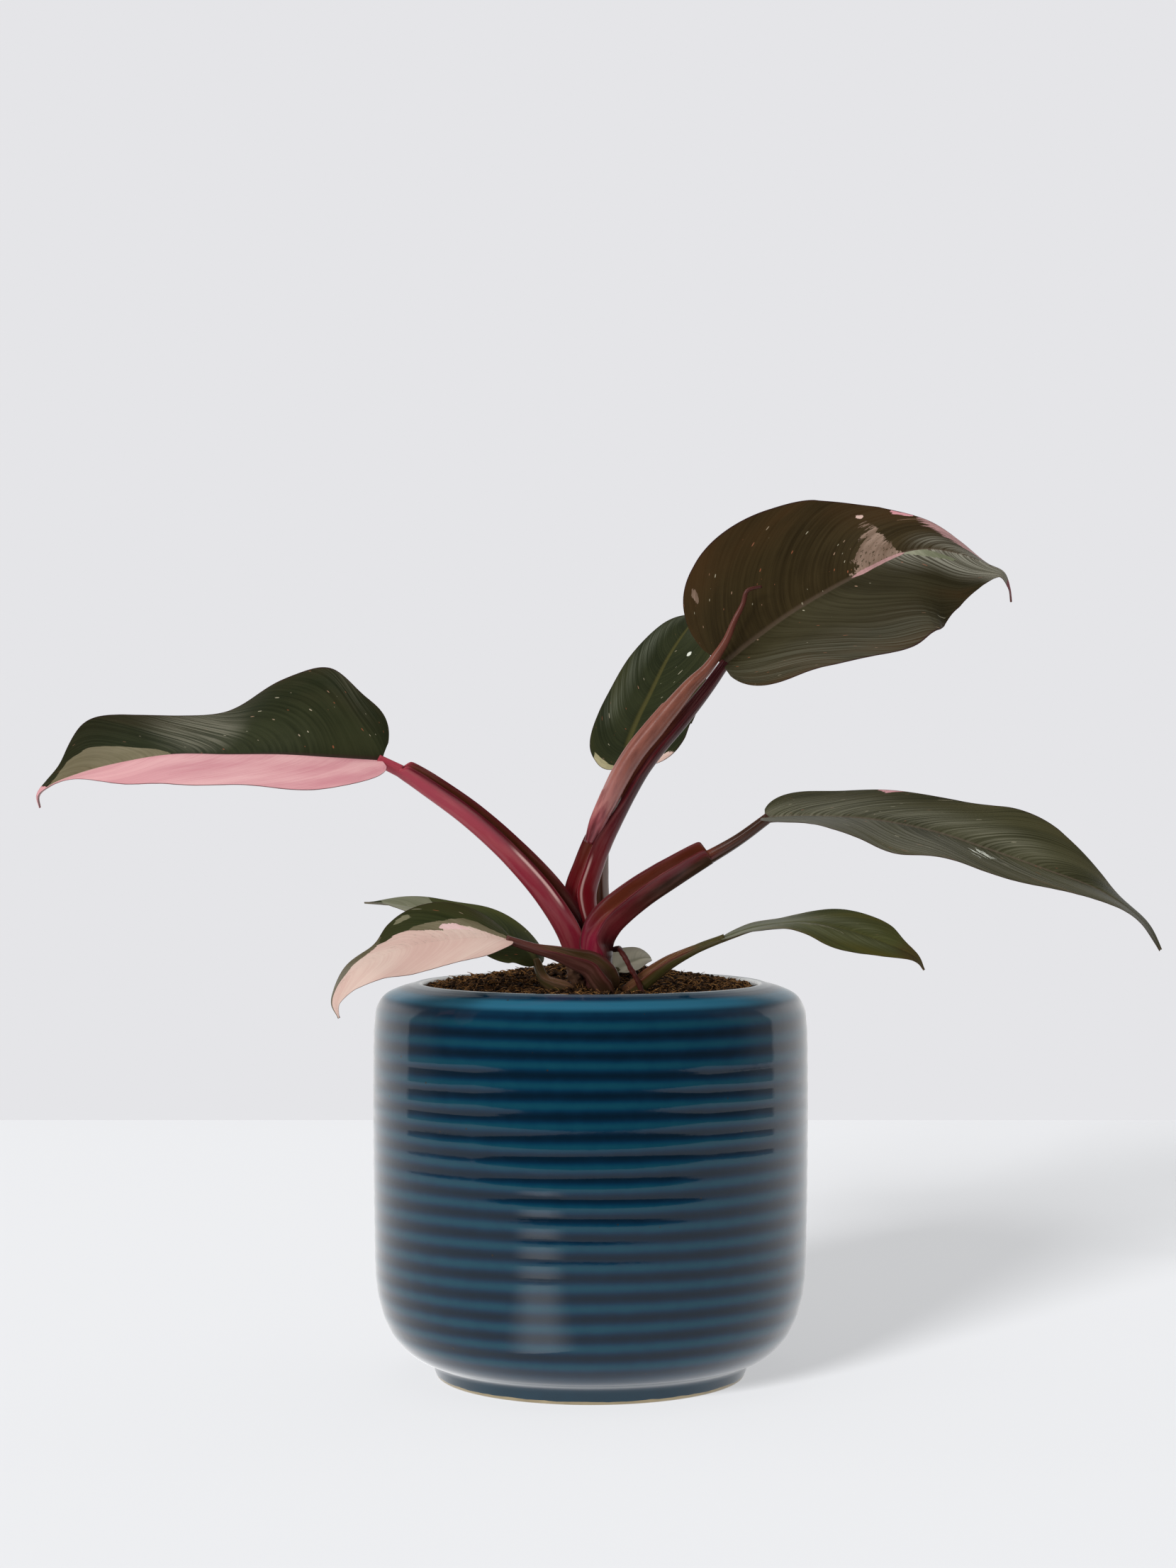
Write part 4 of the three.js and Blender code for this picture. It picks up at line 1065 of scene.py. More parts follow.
# Each stalk's colours round its section, from the middle of its channel by the left wing, the
# underside and the right wing back to the channel, then the colour that it has near the blade, and
# last the colours of its channel and its near side at the foot.
STALK_LOOKS = {
    "top_right": ["#6b3626", "#4a141a", "#8e1d2c", "#7a1826", "#401416", "#40181c", "#74101c", "#84121f"],
    "back": ["#5b3a26", "#4c2c1e", "#5f3d2a", "#4a2c20", "#3a261a", "#5b3a28", "#5b3a26", "#5f3d2a"],
    "left": ["#5a2c1c", "#571620", "#b8243c", "#9a1c32", "#7a1c2c", "#a43a4a", "#4a1418", "#8c182e"],
    "right": ["#743826", "#5a1a20", "#8c2030", "#261612", "#1d1710", "#3a261c", "#7e1a32", "#3a1618"],
    "front_left": ["#4a3822", "#4f2020", "#4e3a24", "#4b2e20", "#3b2a1a", "#54302a", "#4e3c26", "#56402c"],
    "low_left": ["#6e5238", "#5b4530", "#4c4226", "#41401f", "#3c3a1d", "#4c4226", "#6e5238", "#4c4226"],
    "low_right": ["#6e4a2e", "#5b2f20", "#4f4b28", "#44431f", "#42401f", "#4a4624", "#6e4a2e", "#4f4b28"],
    "low_back": ["#5d4a38", "#4c3c2b", "#4c4a30", "#45442a", "#44422a", "#4c4a30", "#5d4a38", "#4c4a30"],
}

# For the sheaths with a pale wing edge, which is mostly a painted highlight along the edge and partly the
# thin wing's own paler tone: its turn round the stalk, and from where to where it runs.
PALE_EDGE_GLINTS = {"top_right": (0.265, 0.72, 0.88), "left": (0.735, 0.59, 0.69)}
PALE_EDGE_GLINT_TINT = "#e0b4ae"


def stalk_material(name):
    channel, rim, near_side, under, far_side, upper, foot_channel, foot_side = STALK_LOOKS[name]
    shade = Shade(f"{name}_stalk", roughness=0.25, specular=0.28)
    along, around, distance = shade.parts(shade.field("place"))

    # The colours round the section, at the foot, on the outside near the blade, and at the blade.
    base = shade.ramp(around, [
        (0.0, channel), (0.14, channel), (0.19, rim), (0.25, rim), (0.3, near_side), (0.4, near_side),
        (0.5, under), (0.6, far_side), (0.7, far_side), (0.75, rim), (0.81, rim), (0.86, channel),
        (1.0, channel),
    ])
    foot = shade.ramp(around, [
        (0.0, foot_channel), (0.22, foot_channel), (0.3, foot_side), (0.4, foot_side), (0.5, under),
        (0.6, far_side), (0.78, far_side), (0.84, foot_channel), (1.0, foot_channel),
    ])
    base = shade.mix(shade.step(along, 0.6, 0.82), base, foot)
    outside = shade.times(shade.step(around, 0.25, 0.3), shade.rest(shade.step(around, 0.7, 0.75)))
    toward_blade = shade.rest(shade.step(along, 0.4, 0.85))
    base = shade.mix(shade.times(outside, toward_blade), base, upper)
    base = shade.mix(shade.rest(shade.step(along, 0.12, 0.26)), base, upper)

    streaks = shade.noise(shade.ring(around, 4.1, shade.times(distance, 0.06)), 1.0, 3.0)
    base = shade.mix(shade.step(streaks, 0.4, 0.7), base, shade.mix(0.12, base, "#c98a80"))
    dot_distance, dot_tint = shade.cells(shade.ring(around, 4.8, shade.times(distance, 0.9)), 1.0)
    dots = shade.below(dot_distance, shade.times(shade.parts(dot_tint)[1], 0.2))
    base = shade.mix(shade.times(dots, 0.2), base, "#2a1110")

    # A painted highlight along one wing's edge, in broken stretches, which also stands for the thin edge's
    # own paler tone.
    if name in PALE_EDGE_GLINTS:
        turn, start, end = PALE_EDGE_GLINTS[name]
        off_edge = shade.maths("ABSOLUTE", shade.minus(around, turn))
        glint_breaks = shade.noise(shade.vector(shade.times(distance, 0.05), 0.7, 0.0), 1.0, 2.0)
        pale = shade.times(shade.step(off_edge, 0.014, 0.003), shade.step(glint_breaks, 0.25, 0.5))
        stretch = shade.times(shade.step(along, start - 0.05, start), shade.step(along, end + 0.05, end))
        base = shade.mix(shade.times(pale, stretch, 0.8), base, PALE_EDGE_GLINT_TINT)
    shade.bump(streaks, 0.3, 0.15)
    return shade.finish(base, shade.scaled(streaks, 0.16, 0.12))


def tissue_material(name, stops, roughness, streak_radius, bump=0.3, specular=0.4):
    """For round plant pieces: a ramp of colours along them, streaked lengthwise."""
    shade = Shade(name, roughness=roughness, specular=specular)
    along, around, distance = shade.parts(shade.field("place"))
    tube_place = shade.ring(around, streak_radius, shade.times(distance, 0.15))
    streaks = shade.noise(tube_place, 1.0, 4.0)
    base = shade.ramp(shade.plus(along, shade.scaled(streaks, 0.16, -0.08)), stops)
    base = shade.mix(shade.step(streaks, 0.35, 0.75), base, shade.mix(0.4, base, "#2c1512"))
    shade.bump(streaks, bump, 0.3)
    return shade.finish(base)


def glaze_material():
    """The glaze is darker in the grooves, dull at the shoulder, and bare at the foot ring. A pale band at
    the shoulder is partly thinner glaze and partly a painted highlight, and the foot is greyer, partly
    from thinner glaze and partly as a painted sheen. The lip's lighter tone is a painted highlight and
    the pale inside a painted reflection. Heights and radii are in millimetres."""
    shade = Shade("glaze", roughness=0.07, specular=0.32)
    surface = shade.surface.inputs
    surface["Sheen Roughness"].default_value = 0.33
    surface["Sheen Weight"].default_value = 0.8
    relief, height, _ = shade.parts(shade.field("place"))
    shade.put(surface["Sheen Weight"], shade.rest(shade.step(height, 129.5, 134.5)))

    spot = shade.field("spot")
    mottle = shade.noise(spot, 0.16, 4.0)
    pooled = shade.plus(relief, shade.scaled(mottle, 0.7, -0.35))
    base = shade.ramp(shade.scaled(pooled, 0.5, 0.5), [
        (0.0, "#021a2a"), (0.35, "#03243a"), (0.7, "#04344b"), (1.0, "#0c4253"),
    ])
    # A pale band at the shoulder: partly the thinner glaze there, partly a painted highlight where it faces
    # up.
    shoulder = shade.times(shade.step(height, 131.5, 133.5), shade.rest(shade.step(height, 134.6, 135.8)))
    base = shade.mix(shade.times(shoulder, 0.8), base, "#2c6c86")
    # Greyer toward the foot: partly thinner glaze, partly a painted sheen.
    foot = shade.rest(shade.step(height, 4.0, 7.0))
    base = shade.mix(shade.times(foot, 0.25), base, "#46585a")
    # A lighter lip: a painted highlight round the mouth.
    lip = shade.step(height, 136.0, 136.6)
    base = shade.mix(shade.times(lip, 0.2), base, "#8b9ca2")
    dull = shade.times(shade.step(height, 130.5, 132.5), shade.rest(lip))
    shade.put(surface["Specular IOR Level"], shade.scaled(dull, -0.24, 0.32))

    # Fine brown pits, and the bare clay below a wavy line.
    pit_distance, pit_tint = shade.cells(spot, 0.22)
    pit_size = shade.times(shade.step(shade.parts(pit_tint)[0], 0.75, 1.0), 0.1)
    pit = shade.below(pit_distance, pit_size)
    base = shade.mix(shade.times(pit, 0.7), base, "#2e2418")
    bare = shade.below(height, shade.scaled(shade.noise(spot, 0.12, 2.0), 0.9, 0.75))
    base = shade.mix(bare, base, shade.mix(mottle, "#b9a987", "#8f7f63"))

    # The inside wall is painted pale, as a painted reflection of the bright room on the far inner side of the
    # lip.
    x, y, _ = shade.parts(spot)
    from_axis = shade.maths("SQRT", shade.plus(shade.maths("POWER", x, 2.0), shade.maths("POWER", y, 2.0)))
    inside = shade.rest(shade.step(from_axis, 59.4, 60.2))
    base = shade.mix(shade.times(inside, shade.step(height, 20.0, 30.0)), base, "#dcdedd")
    rough = shade.plus(shade.times(bare, 0.6), shade.scaled(mottle, 0.06, 0.04))
    shade.bump(shade.minus(shade.times(mottle, 0.6), pit), 0.12, 0.4)
    return shade.finish(base, rough)


def soil_material(name, low, middle, high, scale):
    shade = Shade(name, roughness=0.95, specular=0.2)
    grain = shade.noise(shade.object_place(), scale, 6.0, 0.7)
    base = shade.ramp(shade.step(grain, 0.3, 0.72), [(0.0, low), (0.55, middle), (1.0, high)])
    shade.bump(grain, 0.8, 0.6)
    return shade.finish(base)


# The pot

POT_OUTSIDE = Curve([
    [56.7, FOOT_HEIGHT, 0], [62.6, 8.6, 0], [67.5, 13, 0], [71, 18.5, 0], [73.5, 25.5, 0], [75, 34, 0],
    [75.6, 52, 0], [POT_RADIUS, 80, 0], [POT_RADIUS, 108, 0], [75.7, 122, 0], [74.8, 128.5, 0],
    [72.2, 132.6, 0], [67.5, 135, 0], [62.5, 136.4, 0],
])

CAVITY = [
    [0, POT_FLOOR], [50, POT_FLOOR], [60, 14], [66, 22], [69, 34],
    [POT_RADIUS - POT_WALL, 60], [POT_RADIUS - POT_WALL, 116], [68, 124], [63, 129],
    [POT_MOUTH_RADIUS, 132.5], [POT_MOUTH_RADIUS, POT_HEIGHT - 1.5],
]

# The foot as distances past its radius and heights, and the lip as radii and heights.
FOOT_PROFILE = [(-1, 0), (-0.35, 0.15), (0, 0.7), (0.5, 2), (1, 4), (1.7, 5.2), (2.6, 5.9)]
LIP_PROFILE = [(61.9, 136.65), (61.1, 136.9), (60.3, 137), (59.6, 136.85), (59.1, 136.4)]
INNER_LIP_HEIGHT = 135.8
WALL_TOP = 136.2
WALL_RINGS = 300

# Radii that lie between the pot's outside and its inside, by height.
BETWEEN_HEIGHTS = [0, 6, 20, 40, 130, 137]
BETWEEN_RADII = [40, 50, 68, 72, 72, 64]


def lathe(profile, sides):
    """Points and faces of a body turned round Z; its profile starts and ends on the axis."""
    angles = np.arange(sides) * 2 * math.pi / sides
    ring = np.stack([np.cos(angles), np.sin(angles), np.zeros(sides)], 1)
    points = [[0.0, 0.0, profile[0][1]]]
    for radius, height in profile[1:-1]:
        points.extend(radius * ring + [0, 0, height])
    points.append([0.0, 0.0, profile[-1][1]])
    rings = len(profile) - 2
    faces = [tuple(1 + corner for corner in face) for face in tube_faces(rings, sides)[:-2]]
    last = 1 + (rings - 1) * sides
    for side in range(sides):
        following = (side + 1) % sides
        faces.append((0, 1 + following, 1 + side))
        faces.append((len(points) - 1, last + side, last + following))
    return np.array(points), faces


def pot_profile():
    wall = POT_OUTSIDE.at_place(np.linspace(0, 1, 520))
    heights = np.linspace(FOOT_HEIGHT + 0.6, WALL_TOP, WALL_RINGS)
    radii = np.interp(heights, wall[:, 1], wall[:, 0])
    foot = [[FOOT_RADIUS + past, height] for past, height in FOOT_PROFILE]
    cavity = [[POT_MOUTH_RADIUS, INNER_LIP_HEIGHT], *CAVITY[::-1]]
    return [[0, 0], *foot, *np.stack([radii, heights], 1).tolist(), *LIP_PROFILE, *cavity]


def pot_piece():
    """The pot. Its ribs are low turned waves, a little uneven from one to the next and round it."""
    points, faces = lathe(pot_profile(), POT_SIDES)
    radius = np.hypot(points[:, 0], points[:, 1])
    height = points[:, 2].copy()
    angle = np.arctan2(points[:, 1], points[:, 0])
    outside = radius > np.interp(height, BETWEEN_HEIGHTS, BETWEEN_RADII)
    pitch = (RIB_HIGHEST - RIB_LOWEST) / (RIB_COUNT - 1)
    rib_number = (height - RIB_LOWEST) / pitch
    wander = 0.05 * np.sin(angle * 2 + 1.1) + 0.04 * np.sin(angle * 3 + rib_number * 0.7)
    wave = np.cos(2 * math.pi * (rib_number + wander))
    ends = smooth_step(10, 15, height) * (1 - smooth_step(RIB_HIGHEST + 1, RIB_HIGHEST + 4, height))
    uneven = 1 + 0.16 * np.sin(angle * 2 + 2.1 * np.round(rib_number))
    uneven = uneven + 0.1 * np.sin(angle * 5 + rib_number)
    relief = np.where(outside, wave * ends, 0)
    grown_radius = radius + np.where(outside, (RIB_DEPTH / 2) * (relief - 0.15 * ends) * uneven, 0)
    scale = np.where(radius > 0, grown_radius / np.maximum(radius, 1e-6), 1)
    points[:, 0] *= scale
    points[:, 1] *= scale
    place = np.stack([relief, height, angle], 1)
    return make_piece("glazed_pot", points, outward(points, faces), "pot", "glaze", glaze_material(),
                      place=place, spot=points)


# The soil

SOIL_SIDES = 300
SOIL_RINGS = 84
# The sizes of the soil's lumps and their heights, and how high they all stand.
LUMP_SIZES = ((9, 0.35), (5, 0.35), (2.8, 0.3), (1.7, 0.25), (1.1, 0.2))
LUMP_HEIGHT = 0.55
LUMP_SINK = 0.2
LUMP_SEED = 4
# How far the crumbs and fibres keep from the pot's wall.
BIT_MARGIN = 2.2
# A crumb's corners, round its middle and at its top and bottom, ahead, to its side and up.
CRUMB_CORNERS = [
    (1, 0, 0), (0.4, 0.7, 0.2), (-0.5, 0.6, -0.1), (-0.9, 0, 0.1), (-0.4, -0.7, 0), (0.5, -0.6, 0.1),
    (0, 0.05, 0.6), (0.05, 0, -0.6),
]
FIBRE_STATIONS = 5
FIBRE_SIDES = 3


def soil_lift(x, y):
    """How far the soil's top stands above its level edge."""
    distance = np.hypot(x - MOUND_CENTRE[0], y - MOUND_CENTRE[1])
    crumbs = np.sin(0.9 * x + 1.3) * np.sin(0.8 * y + 0.4) + np.sin(0.53 * x - 0.61 * y)
    return MOUND_HEIGHT * np.exp(-((distance / MOUND_SPREAD) ** 2)) + (CRUMB_HEIGHT / 2) * crumbs


def lumps(x, y):
    """Uneven soil of many sizes, about 1 high, from seeded waves."""
    draw = random.Random(LUMP_SEED)
    total = np.zeros_like(x)
    for size, height in LUMP_SIZES:
        for _ in range(4):
            angle = draw.uniform(0, math.pi)
            bend = draw.uniform(0, 2 * math.pi)
            across = x * math.cos(angle) + y * math.sin(angle)
            along = y * math.cos(angle) - x * math.sin(angle)
            total += height / 2 * np.sin(2 * math.pi * across / size + bend + 1.3 * np.sin(along / size))
    return total


def soil_piece():
    buried = [[max(0, radius - GAP), height + (GAP if height == POT_FLOOR else 0)]
              for radius, height in CAVITY[:-1]]
    top = [[radius, SOIL_EDGE_HEIGHT] for radius in np.linspace(POT_MOUTH_RADIUS - GAP, 0, SOIL_RINGS)]
    points, faces = lathe([*buried, *top], SOIL_SIDES)
    surface = points[:, 2] >= SOIL_EDGE_HEIGHT - 0.01
    x, y = points[surface, 0], points[surface, 1]
    points[surface, 2] += soil_lift(x, y) + LUMP_HEIGHT * lumps(x, y) - LUMP_SINK
    material = soil_material("soil", "#0f0906", "#2c1d13", "#5a3e26", 260)
    return make_piece("potting_soil", points, outward(points, faces), "soil", "soil", material)


def crumb(draw, centre, axes, large):
    """A lump with six corners round it and two peaks."""
    ahead, side, high = axes
    points, faces = [], []
    for corner in CRUMB_CORNERS:
        a, b, c = (value * large * draw.uniform(0.7, 1.2) for value in corner)
        points.append(centre + a * ahead + b * side + c * high)
    for k in range(6):
        following = (k + 1) % 6
        faces.append((k, following, 6))
        faces.append((following, k, 7))
    return points, faces


def fibre(draw, centre, axes, large):
    """A thin bowed thread."""
    ahead, side, high = axes
    thick = large * draw.uniform(0.05, 0.09)
    bow = draw.uniform(0.05, 0.35)
    points = []
    for k in range(FIBRE_STATIONS):
        t = k / (FIBRE_STATIONS - 1)
        middle = centre + ahead * large * (2 * t - 1)
        middle = middle + high * large * bow * math.sin(math.pi * t) + side * large * bow * (t - 0.5) ** 2
        taper = thick * (0.4 + 0.6 * math.sin(math.pi * t))
        for corner in range(FIBRE_SIDES):
            spin = 2 * math.pi * corner / FIBRE_SIDES
            points.append(middle + taper * (math.cos(spin) * side + math.sin(spin) * high))
    return points, tube_faces(FIBRE_STATIONS, FIBRE_SIDES)


def soil_bits(name, count, seed, sizes, shape, material):
    """Seeded crumbs or fibres, each sunk a little into the soil's top."""
    draw = random.Random(seed)
    points, faces = [], []
    for _ in range(count):
        distance = (POT_MOUTH_RADIUS - BIT_MARGIN) * math.sqrt(draw.random())
        angle = draw.uniform(0, 2 * math.pi)
        x, y = distance * math.cos(angle), distance * math.sin(angle)
        ground = SOIL_EDGE_HEIGHT + float(soil_lift(x, y)) + draw.uniform(-0.1, 0.7)
        turn = draw.uniform(0, 2 * math.pi)
        lean = draw.uniform(-0.7, 0.7)
        ahead = np.array([math.cos(turn) * math.cos(lean), math.sin(turn) * math.cos(lean), math.sin(lean)])
        side = unit(np.cross(ahead, UP))
        axes = (ahead, side, np.cross(side, ahead))
        bit_points, bit_faces = shape(draw, np.array([x, y, ground]), axes, draw.uniform(*sizes))
        faces.extend(tuple(len(points) + corner for corner in face) for face in bit_faces)
        points.extend(bit_points)
    return make_piece(name, points, faces, None, "soil", material)


# The plant

def stalk_piece(name, leaf):
    midrib = Curve(leaf["midrib"])
    seat = midrib.at_place(midrib.place_of(np.array([SEAT_DEPTH / midrib.length])))[0]
    rows = [[*seat, *leaf["stalk"][0][3:]], *leaf["stalk"][1:]]

    def section(_, radius, wing):
        return stalk_section(radius, wing)

    points, faces, place = loft(rows, leaf["face"], section, 12, 4)
    slot = "crimson_stalk" if name in CRIMSON_STALKS else "brown_stalk"
    return make_piece(f"stalk_{name}", points, faces, f"petiole_{name}", slot, stalk_material(name),
                      lofted=True, place=place)


def rolled_section(place, radius):
    """A leaf's spiral roll: its outline steps out at the free edge, which winds round it."""
    angles = np.arange(16) * 2 * math.pi / 16
    edge = 2.2 + 1.6 * place
    turned = ((angles - edge) / (2 * math.pi)) % 1
    grown = radius * (0.86 + 0.16 * turned)
    return grown[:, None] * np.stack([np.cos(angles), np.sin(angles)], 1)


def root_rows(index):
    """A main root's rows, which leave the stem's foot and sink toward the pot's floor."""
    angle = 2 * math.pi * (index + 0.3) / ROOT_COUNT
    rows = []
    for share in (0, 0.2, 0.45, 0.7, 1):
        reach = ROOT_REACH * math.sin(share * 0.6 * math.pi)
        height = (ROOT_TOP - 4 * index) * (1 - share ** 1.4) + ROOT_BOTTOM * share ** 1.4
        x = ROOT_CENTRE[0] + reach * math.cos(angle)
        y = ROOT_CENTRE[1] + reach * math.sin(angle)
        rows.append([x, y, height, ROOT_RADIUS * (1 - 0.55 * share)])
    return rows


def tissue_piece(name, replaced, slot, lofts, material):
    """One piece made of one or several lofts."""
    points, faces, places = [], [], []
    for loft_points, loft_faces, loft_place in lofts:
        first = sum(len(part) for part in points)
        points.append(loft_points)
        places.append(loft_place)
        faces.extend(tuple(first + corner for corner in face) for face in loft_faces)
    return make_piece(name, np.concatenate(points), faces, replaced, slot, material, lofted=True,
                      place=np.concatenate(places))


def plant_pieces():
    for seed, (name, leaf) in enumerate(LEAVES.items()):
        blade_piece(name, leaf, BLADE_LOOKS[name], *BLADE_GRIDS[name], seed + 1)
        stalk_piece(name, leaf)

    def round_loft(rows, section, per_corner=3):
        return loft(rows, LOFT_FACE, section, 10, per_corner)

    # Around 0.85 along, near the foot, the pale pink is a painted glint where the new leaf leaves its sheath.
    rolled = tissue_material("new_leaf", [
        (0.0, "#4a2420"), (0.2, "#6e3a30"), (0.5, "#86503f"), (0.75, "#955a4e"), (0.85, "#b47670"),
        (0.92, "#9a4a50"), (1.0, "#6a2028"),
    ], 0.3, 2.2, 0.25, 0.5)
    rolled_loft = loft(NEW_LEAF, LOFT_FACE, rolled_section, 8, 3)
    tissue_piece("rolled_leaf", "new_leaf", "new_leaf", [rolled_loft], rolled)

    brown = tissue_material("stem", [(0.0, "#4c3826"), (0.6, "#57302c"), (1.0, "#6b2a35")], 0.55, 1.9)
    lofts = [round_loft(STEM, round_section(0.03, 10, 1))]
    lofts += [round_loft(root_rows(k), round_section(0.05, 8, k), 2) for k in range(ROOT_COUNT)]
    tissue_piece("stem_and_roots", "stem", "stem", lofts, brown)

    red = tissue_material("aerial_root", [(0.0, "#4a1c18"), (0.5, "#5a2420"), (1.0, "#3f2018")], 0.45, 1.6)
    root_loft = round_loft(AERIAL_ROOT, round_section(0.06, 8, 9))
    tissue_piece("hooked_root", "aerial_root", "root", [root_loft], red)

    pale = tissue_material("old_sheath", [(0.0, "#4a3424"), (0.5, "#644836"), (1.0, "#7c5c48")], 0.6, 2.5)
    sheath_loft = round_loft(OLD_SHEATH, round_section(0.12, 9, 12))
    tissue_piece("sheath_stub", "old_sheath", "new_leaf", [sheath_loft], pale)


# The stage

def add_camera(scene):
    data = bpy.data.cameras.new("camera")
    data.lens = CAMERA_LENS
    data.sensor_width = CAMERA_SENSOR
    camera = bpy.data.objects.new("camera", data)
    camera.location = [value * MM for value in CAMERA_PLACE]
    camera.rotation_euler = (math.pi / 2, 0, 0)
    scene.collection.objects.link(camera)
    scene.camera = camera


def flat_card(scene, name, corners, material):
    mesh = bpy.data.meshes.new(name)
    mesh.from_pydata([(x, y, 0) for x, y in corners], [], [(0, 1, 2, 3)])
    mesh.materials.append(material)
    card = bpy.data.objects.new(name, mesh)
    scene.collection.objects.link(card)
    return card


def add_floor(scene):
    side, front, back = (value * MM for value in (FLOOR_SIDE, FLOOR_FRONT, WALL_DISTANCE))
    shade = Shade("floor", roughness=0.8, specular=0.0)
    shade.surface.inputs["Emission Color"].default_value = FLOOR_GLOW_TINT
    shade.surface.inputs["Emission Strength"].default_value = FLOOR_GLOW
    corners = [(-side, front), (side, front), (side, back), (-side, back)]
    floor = flat_card(scene, "floor", corners, shade.finish(FLOOR_TINT))
    return floor


def add_world(scene):
    """The camera sees the wall's plain tone past the floor. Other rays meet a room that is bright
    behind the pot and at its sides, and dark in front of it."""
    world = bpy.data.worlds.new("studio")
    world.use_nodes = True
    scene.world = world
    tree = world.node_tree
    tree.nodes.clear()
    node = tree.nodes.new
    direction = node("ShaderNodeTexCoord")
    parts = node("ShaderNodeSeparateXYZ")
    tree.links.new(direction.outputs["Generated"], parts.inputs[0])

    def level(axis, low, high, first, last):
        """A brightness that goes from first to last between two heights on an axis."""
        ramp = node("ShaderNodeMapRange")
        ramp.interpolation_type = "SMOOTHSTEP"
        for key, value in (("From Min", low), ("From Max", high), ("To Min", first), ("To Max", last)):
            ramp.inputs[key].default_value = value
        tree.links.new(parts.outputs[axis], ramp.inputs["Value"])
        return ramp.outputs[0]

    def product(*outputs):
        result = outputs[0]
        for output in outputs[1:]:
            times = node("ShaderNodeMath")
            times.operation = "MULTIPLY"
            tree.links.new(result, times.inputs[0])
            tree.links.new(output, times.inputs[1])
            result = times.outputs[0]
        return result

    def background(tint, strength=None):
        made = node("ShaderNodeBackground")
        made.inputs["Color"].default_value = tint
        if strength is not None:
            tree.links.new(strength, made.inputs["Strength"])
        return made.outputs[0]

    def either(share, first, second):
        mixed = node("ShaderNodeMixShader")
        for socket, output in zip(mixed.inputs, (share, first, second)):
            tree.links.new(output, socket)
        return mixed.outputs[0]

    white = (1, 1, 1, 1)
    soft = background(white, level("Y", 0.0, 0.6, 0.42, 0.85))
    beside = level("Y", -0.15, 0.15, 0.02, 0.16)
    behind = level("Y", 0.33, 0.38, 1.0, 5.6)
    straight_behind = level("Y", 0.5, 0.95, 1.0, 0.75)
    raised = level("Z", 0.3, 0.6, 1.0, 0.1)
    mirrored = background(white, product(beside, behind, straight_behind, raised))
    seen = node("ShaderNodeLightPath").outputs
    lit = either(seen["Is Glossy Ray"], soft, mirrored)
    shown = either(seen["Is Camera Ray"], lit, background(colour(WALL_TINT)))
    tree.links.new(shown, node("ShaderNodeOutputWorld").inputs["Surface"])


def aimed_light(scene, data, place, target):
    light = bpy.data.objects.new(data.name, data)
    light.location = place
    look = Vector(target) - Vector(place)
    light.rotation_euler = look.to_track_quat("-Z", "Y").to_euler()
    light.visible_glossy = False
    scene.collection.objects.link(light)
    return light


def add_lamp(scene, name):
    place, target, power, (width, depth) = LAMPS[name]
    data = bpy.data.lights.new(name, "AREA")
    data.energy = power
    data.shape = "RECTANGLE"
    data.size = width
    data.size_y = depth
    return aimed_light(scene, data, place, target)


def add_sun(scene, name, power):
    data = bpy.data.lights.new(name, "SUN")
    data.energy = power
    data.angle = math.radians(SUN_WIDTH)
    return aimed_light(scene, data, SUN_PLACE, (0, 0, 0))


def light_only(light, name, pieces):
    """Keeps a light to some pieces."""
    lit = bpy.data.collections.new(name)
    for piece in pieces:
        lit.objects.link(piece)
    light.light_linking.receiver_collection = lit


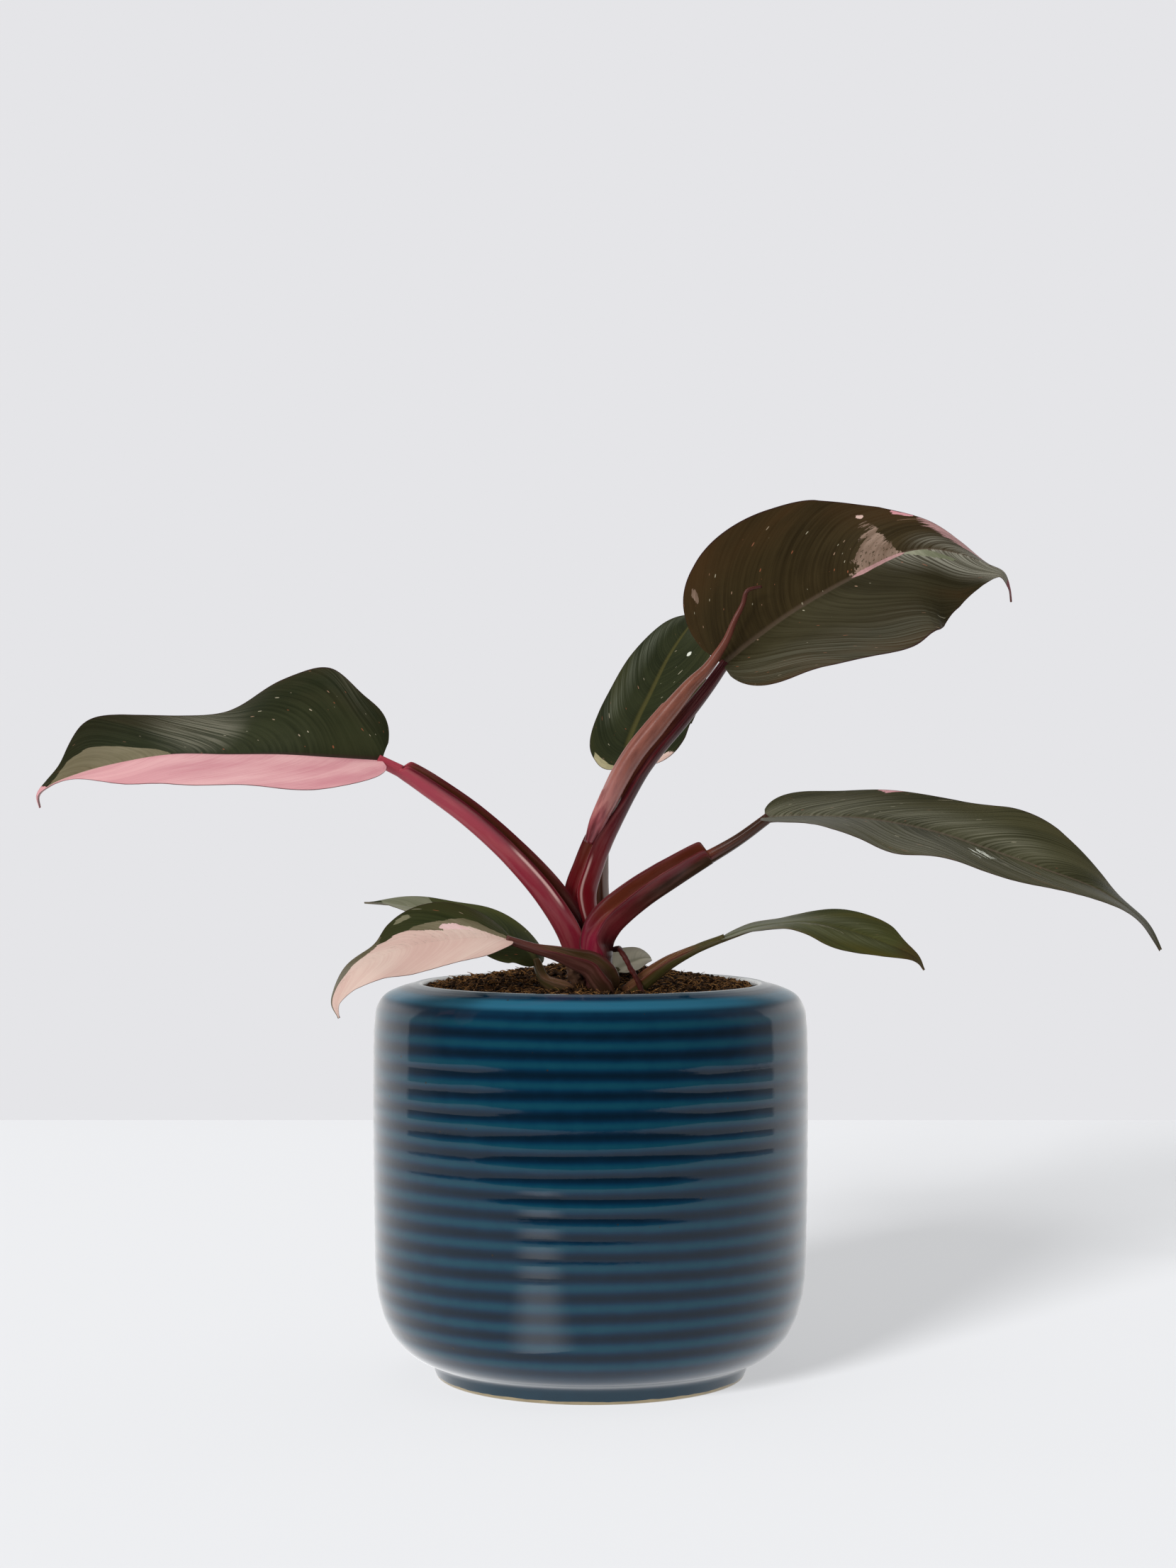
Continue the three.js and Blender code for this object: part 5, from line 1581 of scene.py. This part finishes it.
def add_streak(scene):
    """A soft streak of light on the floor in front, which shows only as a highlight on the glaze."""
    shade = Shade("streak")
    off_line, along, _ = shade.parts(shade.object_place())
    angle = shade.maths("ABSOLUTE", shade.maths("ARCTAN2", off_line, along))
    inside = shade.rest(shade.step(angle, 0.03, math.radians(STREAK_WIDTH)))
    faded = shade.rest(shade.step(along, *STREAK_FADE))
    emission = shade.tree.nodes.new("ShaderNodeEmission")
    shade.put(emission.inputs["Strength"], shade.times(inside, faded, STREAK_POWER))
    clear = shade.tree.nodes.new("ShaderNodeBsdfTransparent")
    both = shade.tree.nodes.new("ShaderNodeAddShader")
    shade.put(both.inputs[0], emission.outputs[0])
    shade.put(both.inputs[1], clear.outputs[0])
    shade.put(shade.tree.nodes["Material Output"].inputs["Surface"], both.outputs[0])

    (near, narrow), (far, wide) = STREAK_ENDS
    corners = [(-narrow, near), (narrow, near), (wide, far), (-wide, far)]
    streak = flat_card(scene, "streak", corners, shade.material)
    streak.location = STREAK_PLACE
    streak.rotation_euler = (0, 0, math.radians(180 - STREAK_TURN))
    streak.visible_camera = False
    streak.visible_diffuse = False
    streak.visible_shadow = False


def stage():
    scene = bpy.context.scene
    scene.view_settings.view_transform = "Standard"
    scene.view_settings.look = "None"
    add_camera(scene)
    floor = add_floor(scene)
    add_world(scene)
    add_lamp(scene, "overhead")
    add_lamp(scene, "left_front")
    add_sun(scene, "low_sun", SUN_POWER)
    add_streak(scene)

    # A small lamp, for the glints on the stalks alone.
    glint = add_lamp(scene, "stalk_glint")
    glint.visible_glossy = True
    glint.visible_diffuse = False
    glossy_names = ("stalk_", "rolled_leaf", "hooked_root")
    glossy = [piece for piece in scene.objects if piece.name.startswith(glossy_names)]
    light_only(glint, "glossy_pieces", glossy)

    # A second low sun, for the floor's shadow alone.
    light_only(add_sun(scene, "floor_sun", FLOOR_SUN_POWER), "lit_floor", [floor])


pot_piece()
soil_piece()
brown_crumb = soil_material("crumb", "#140c08", "#3a281a", "#7d5a38", 420)
golden_fibre = soil_material("golden_fibre", "#4a3018", "#966a3c", "#c89a62", 500)
soil_bits("soil_crumbs", count=2600, seed=11, sizes=(0.5, 1.5), shape=crumb, material=brown_crumb)
soil_bits("soil_fibres", count=1800, seed=12, sizes=(0.8, 2.6), shape=fibre, material=golden_fibre)
plant_pieces()
stage()
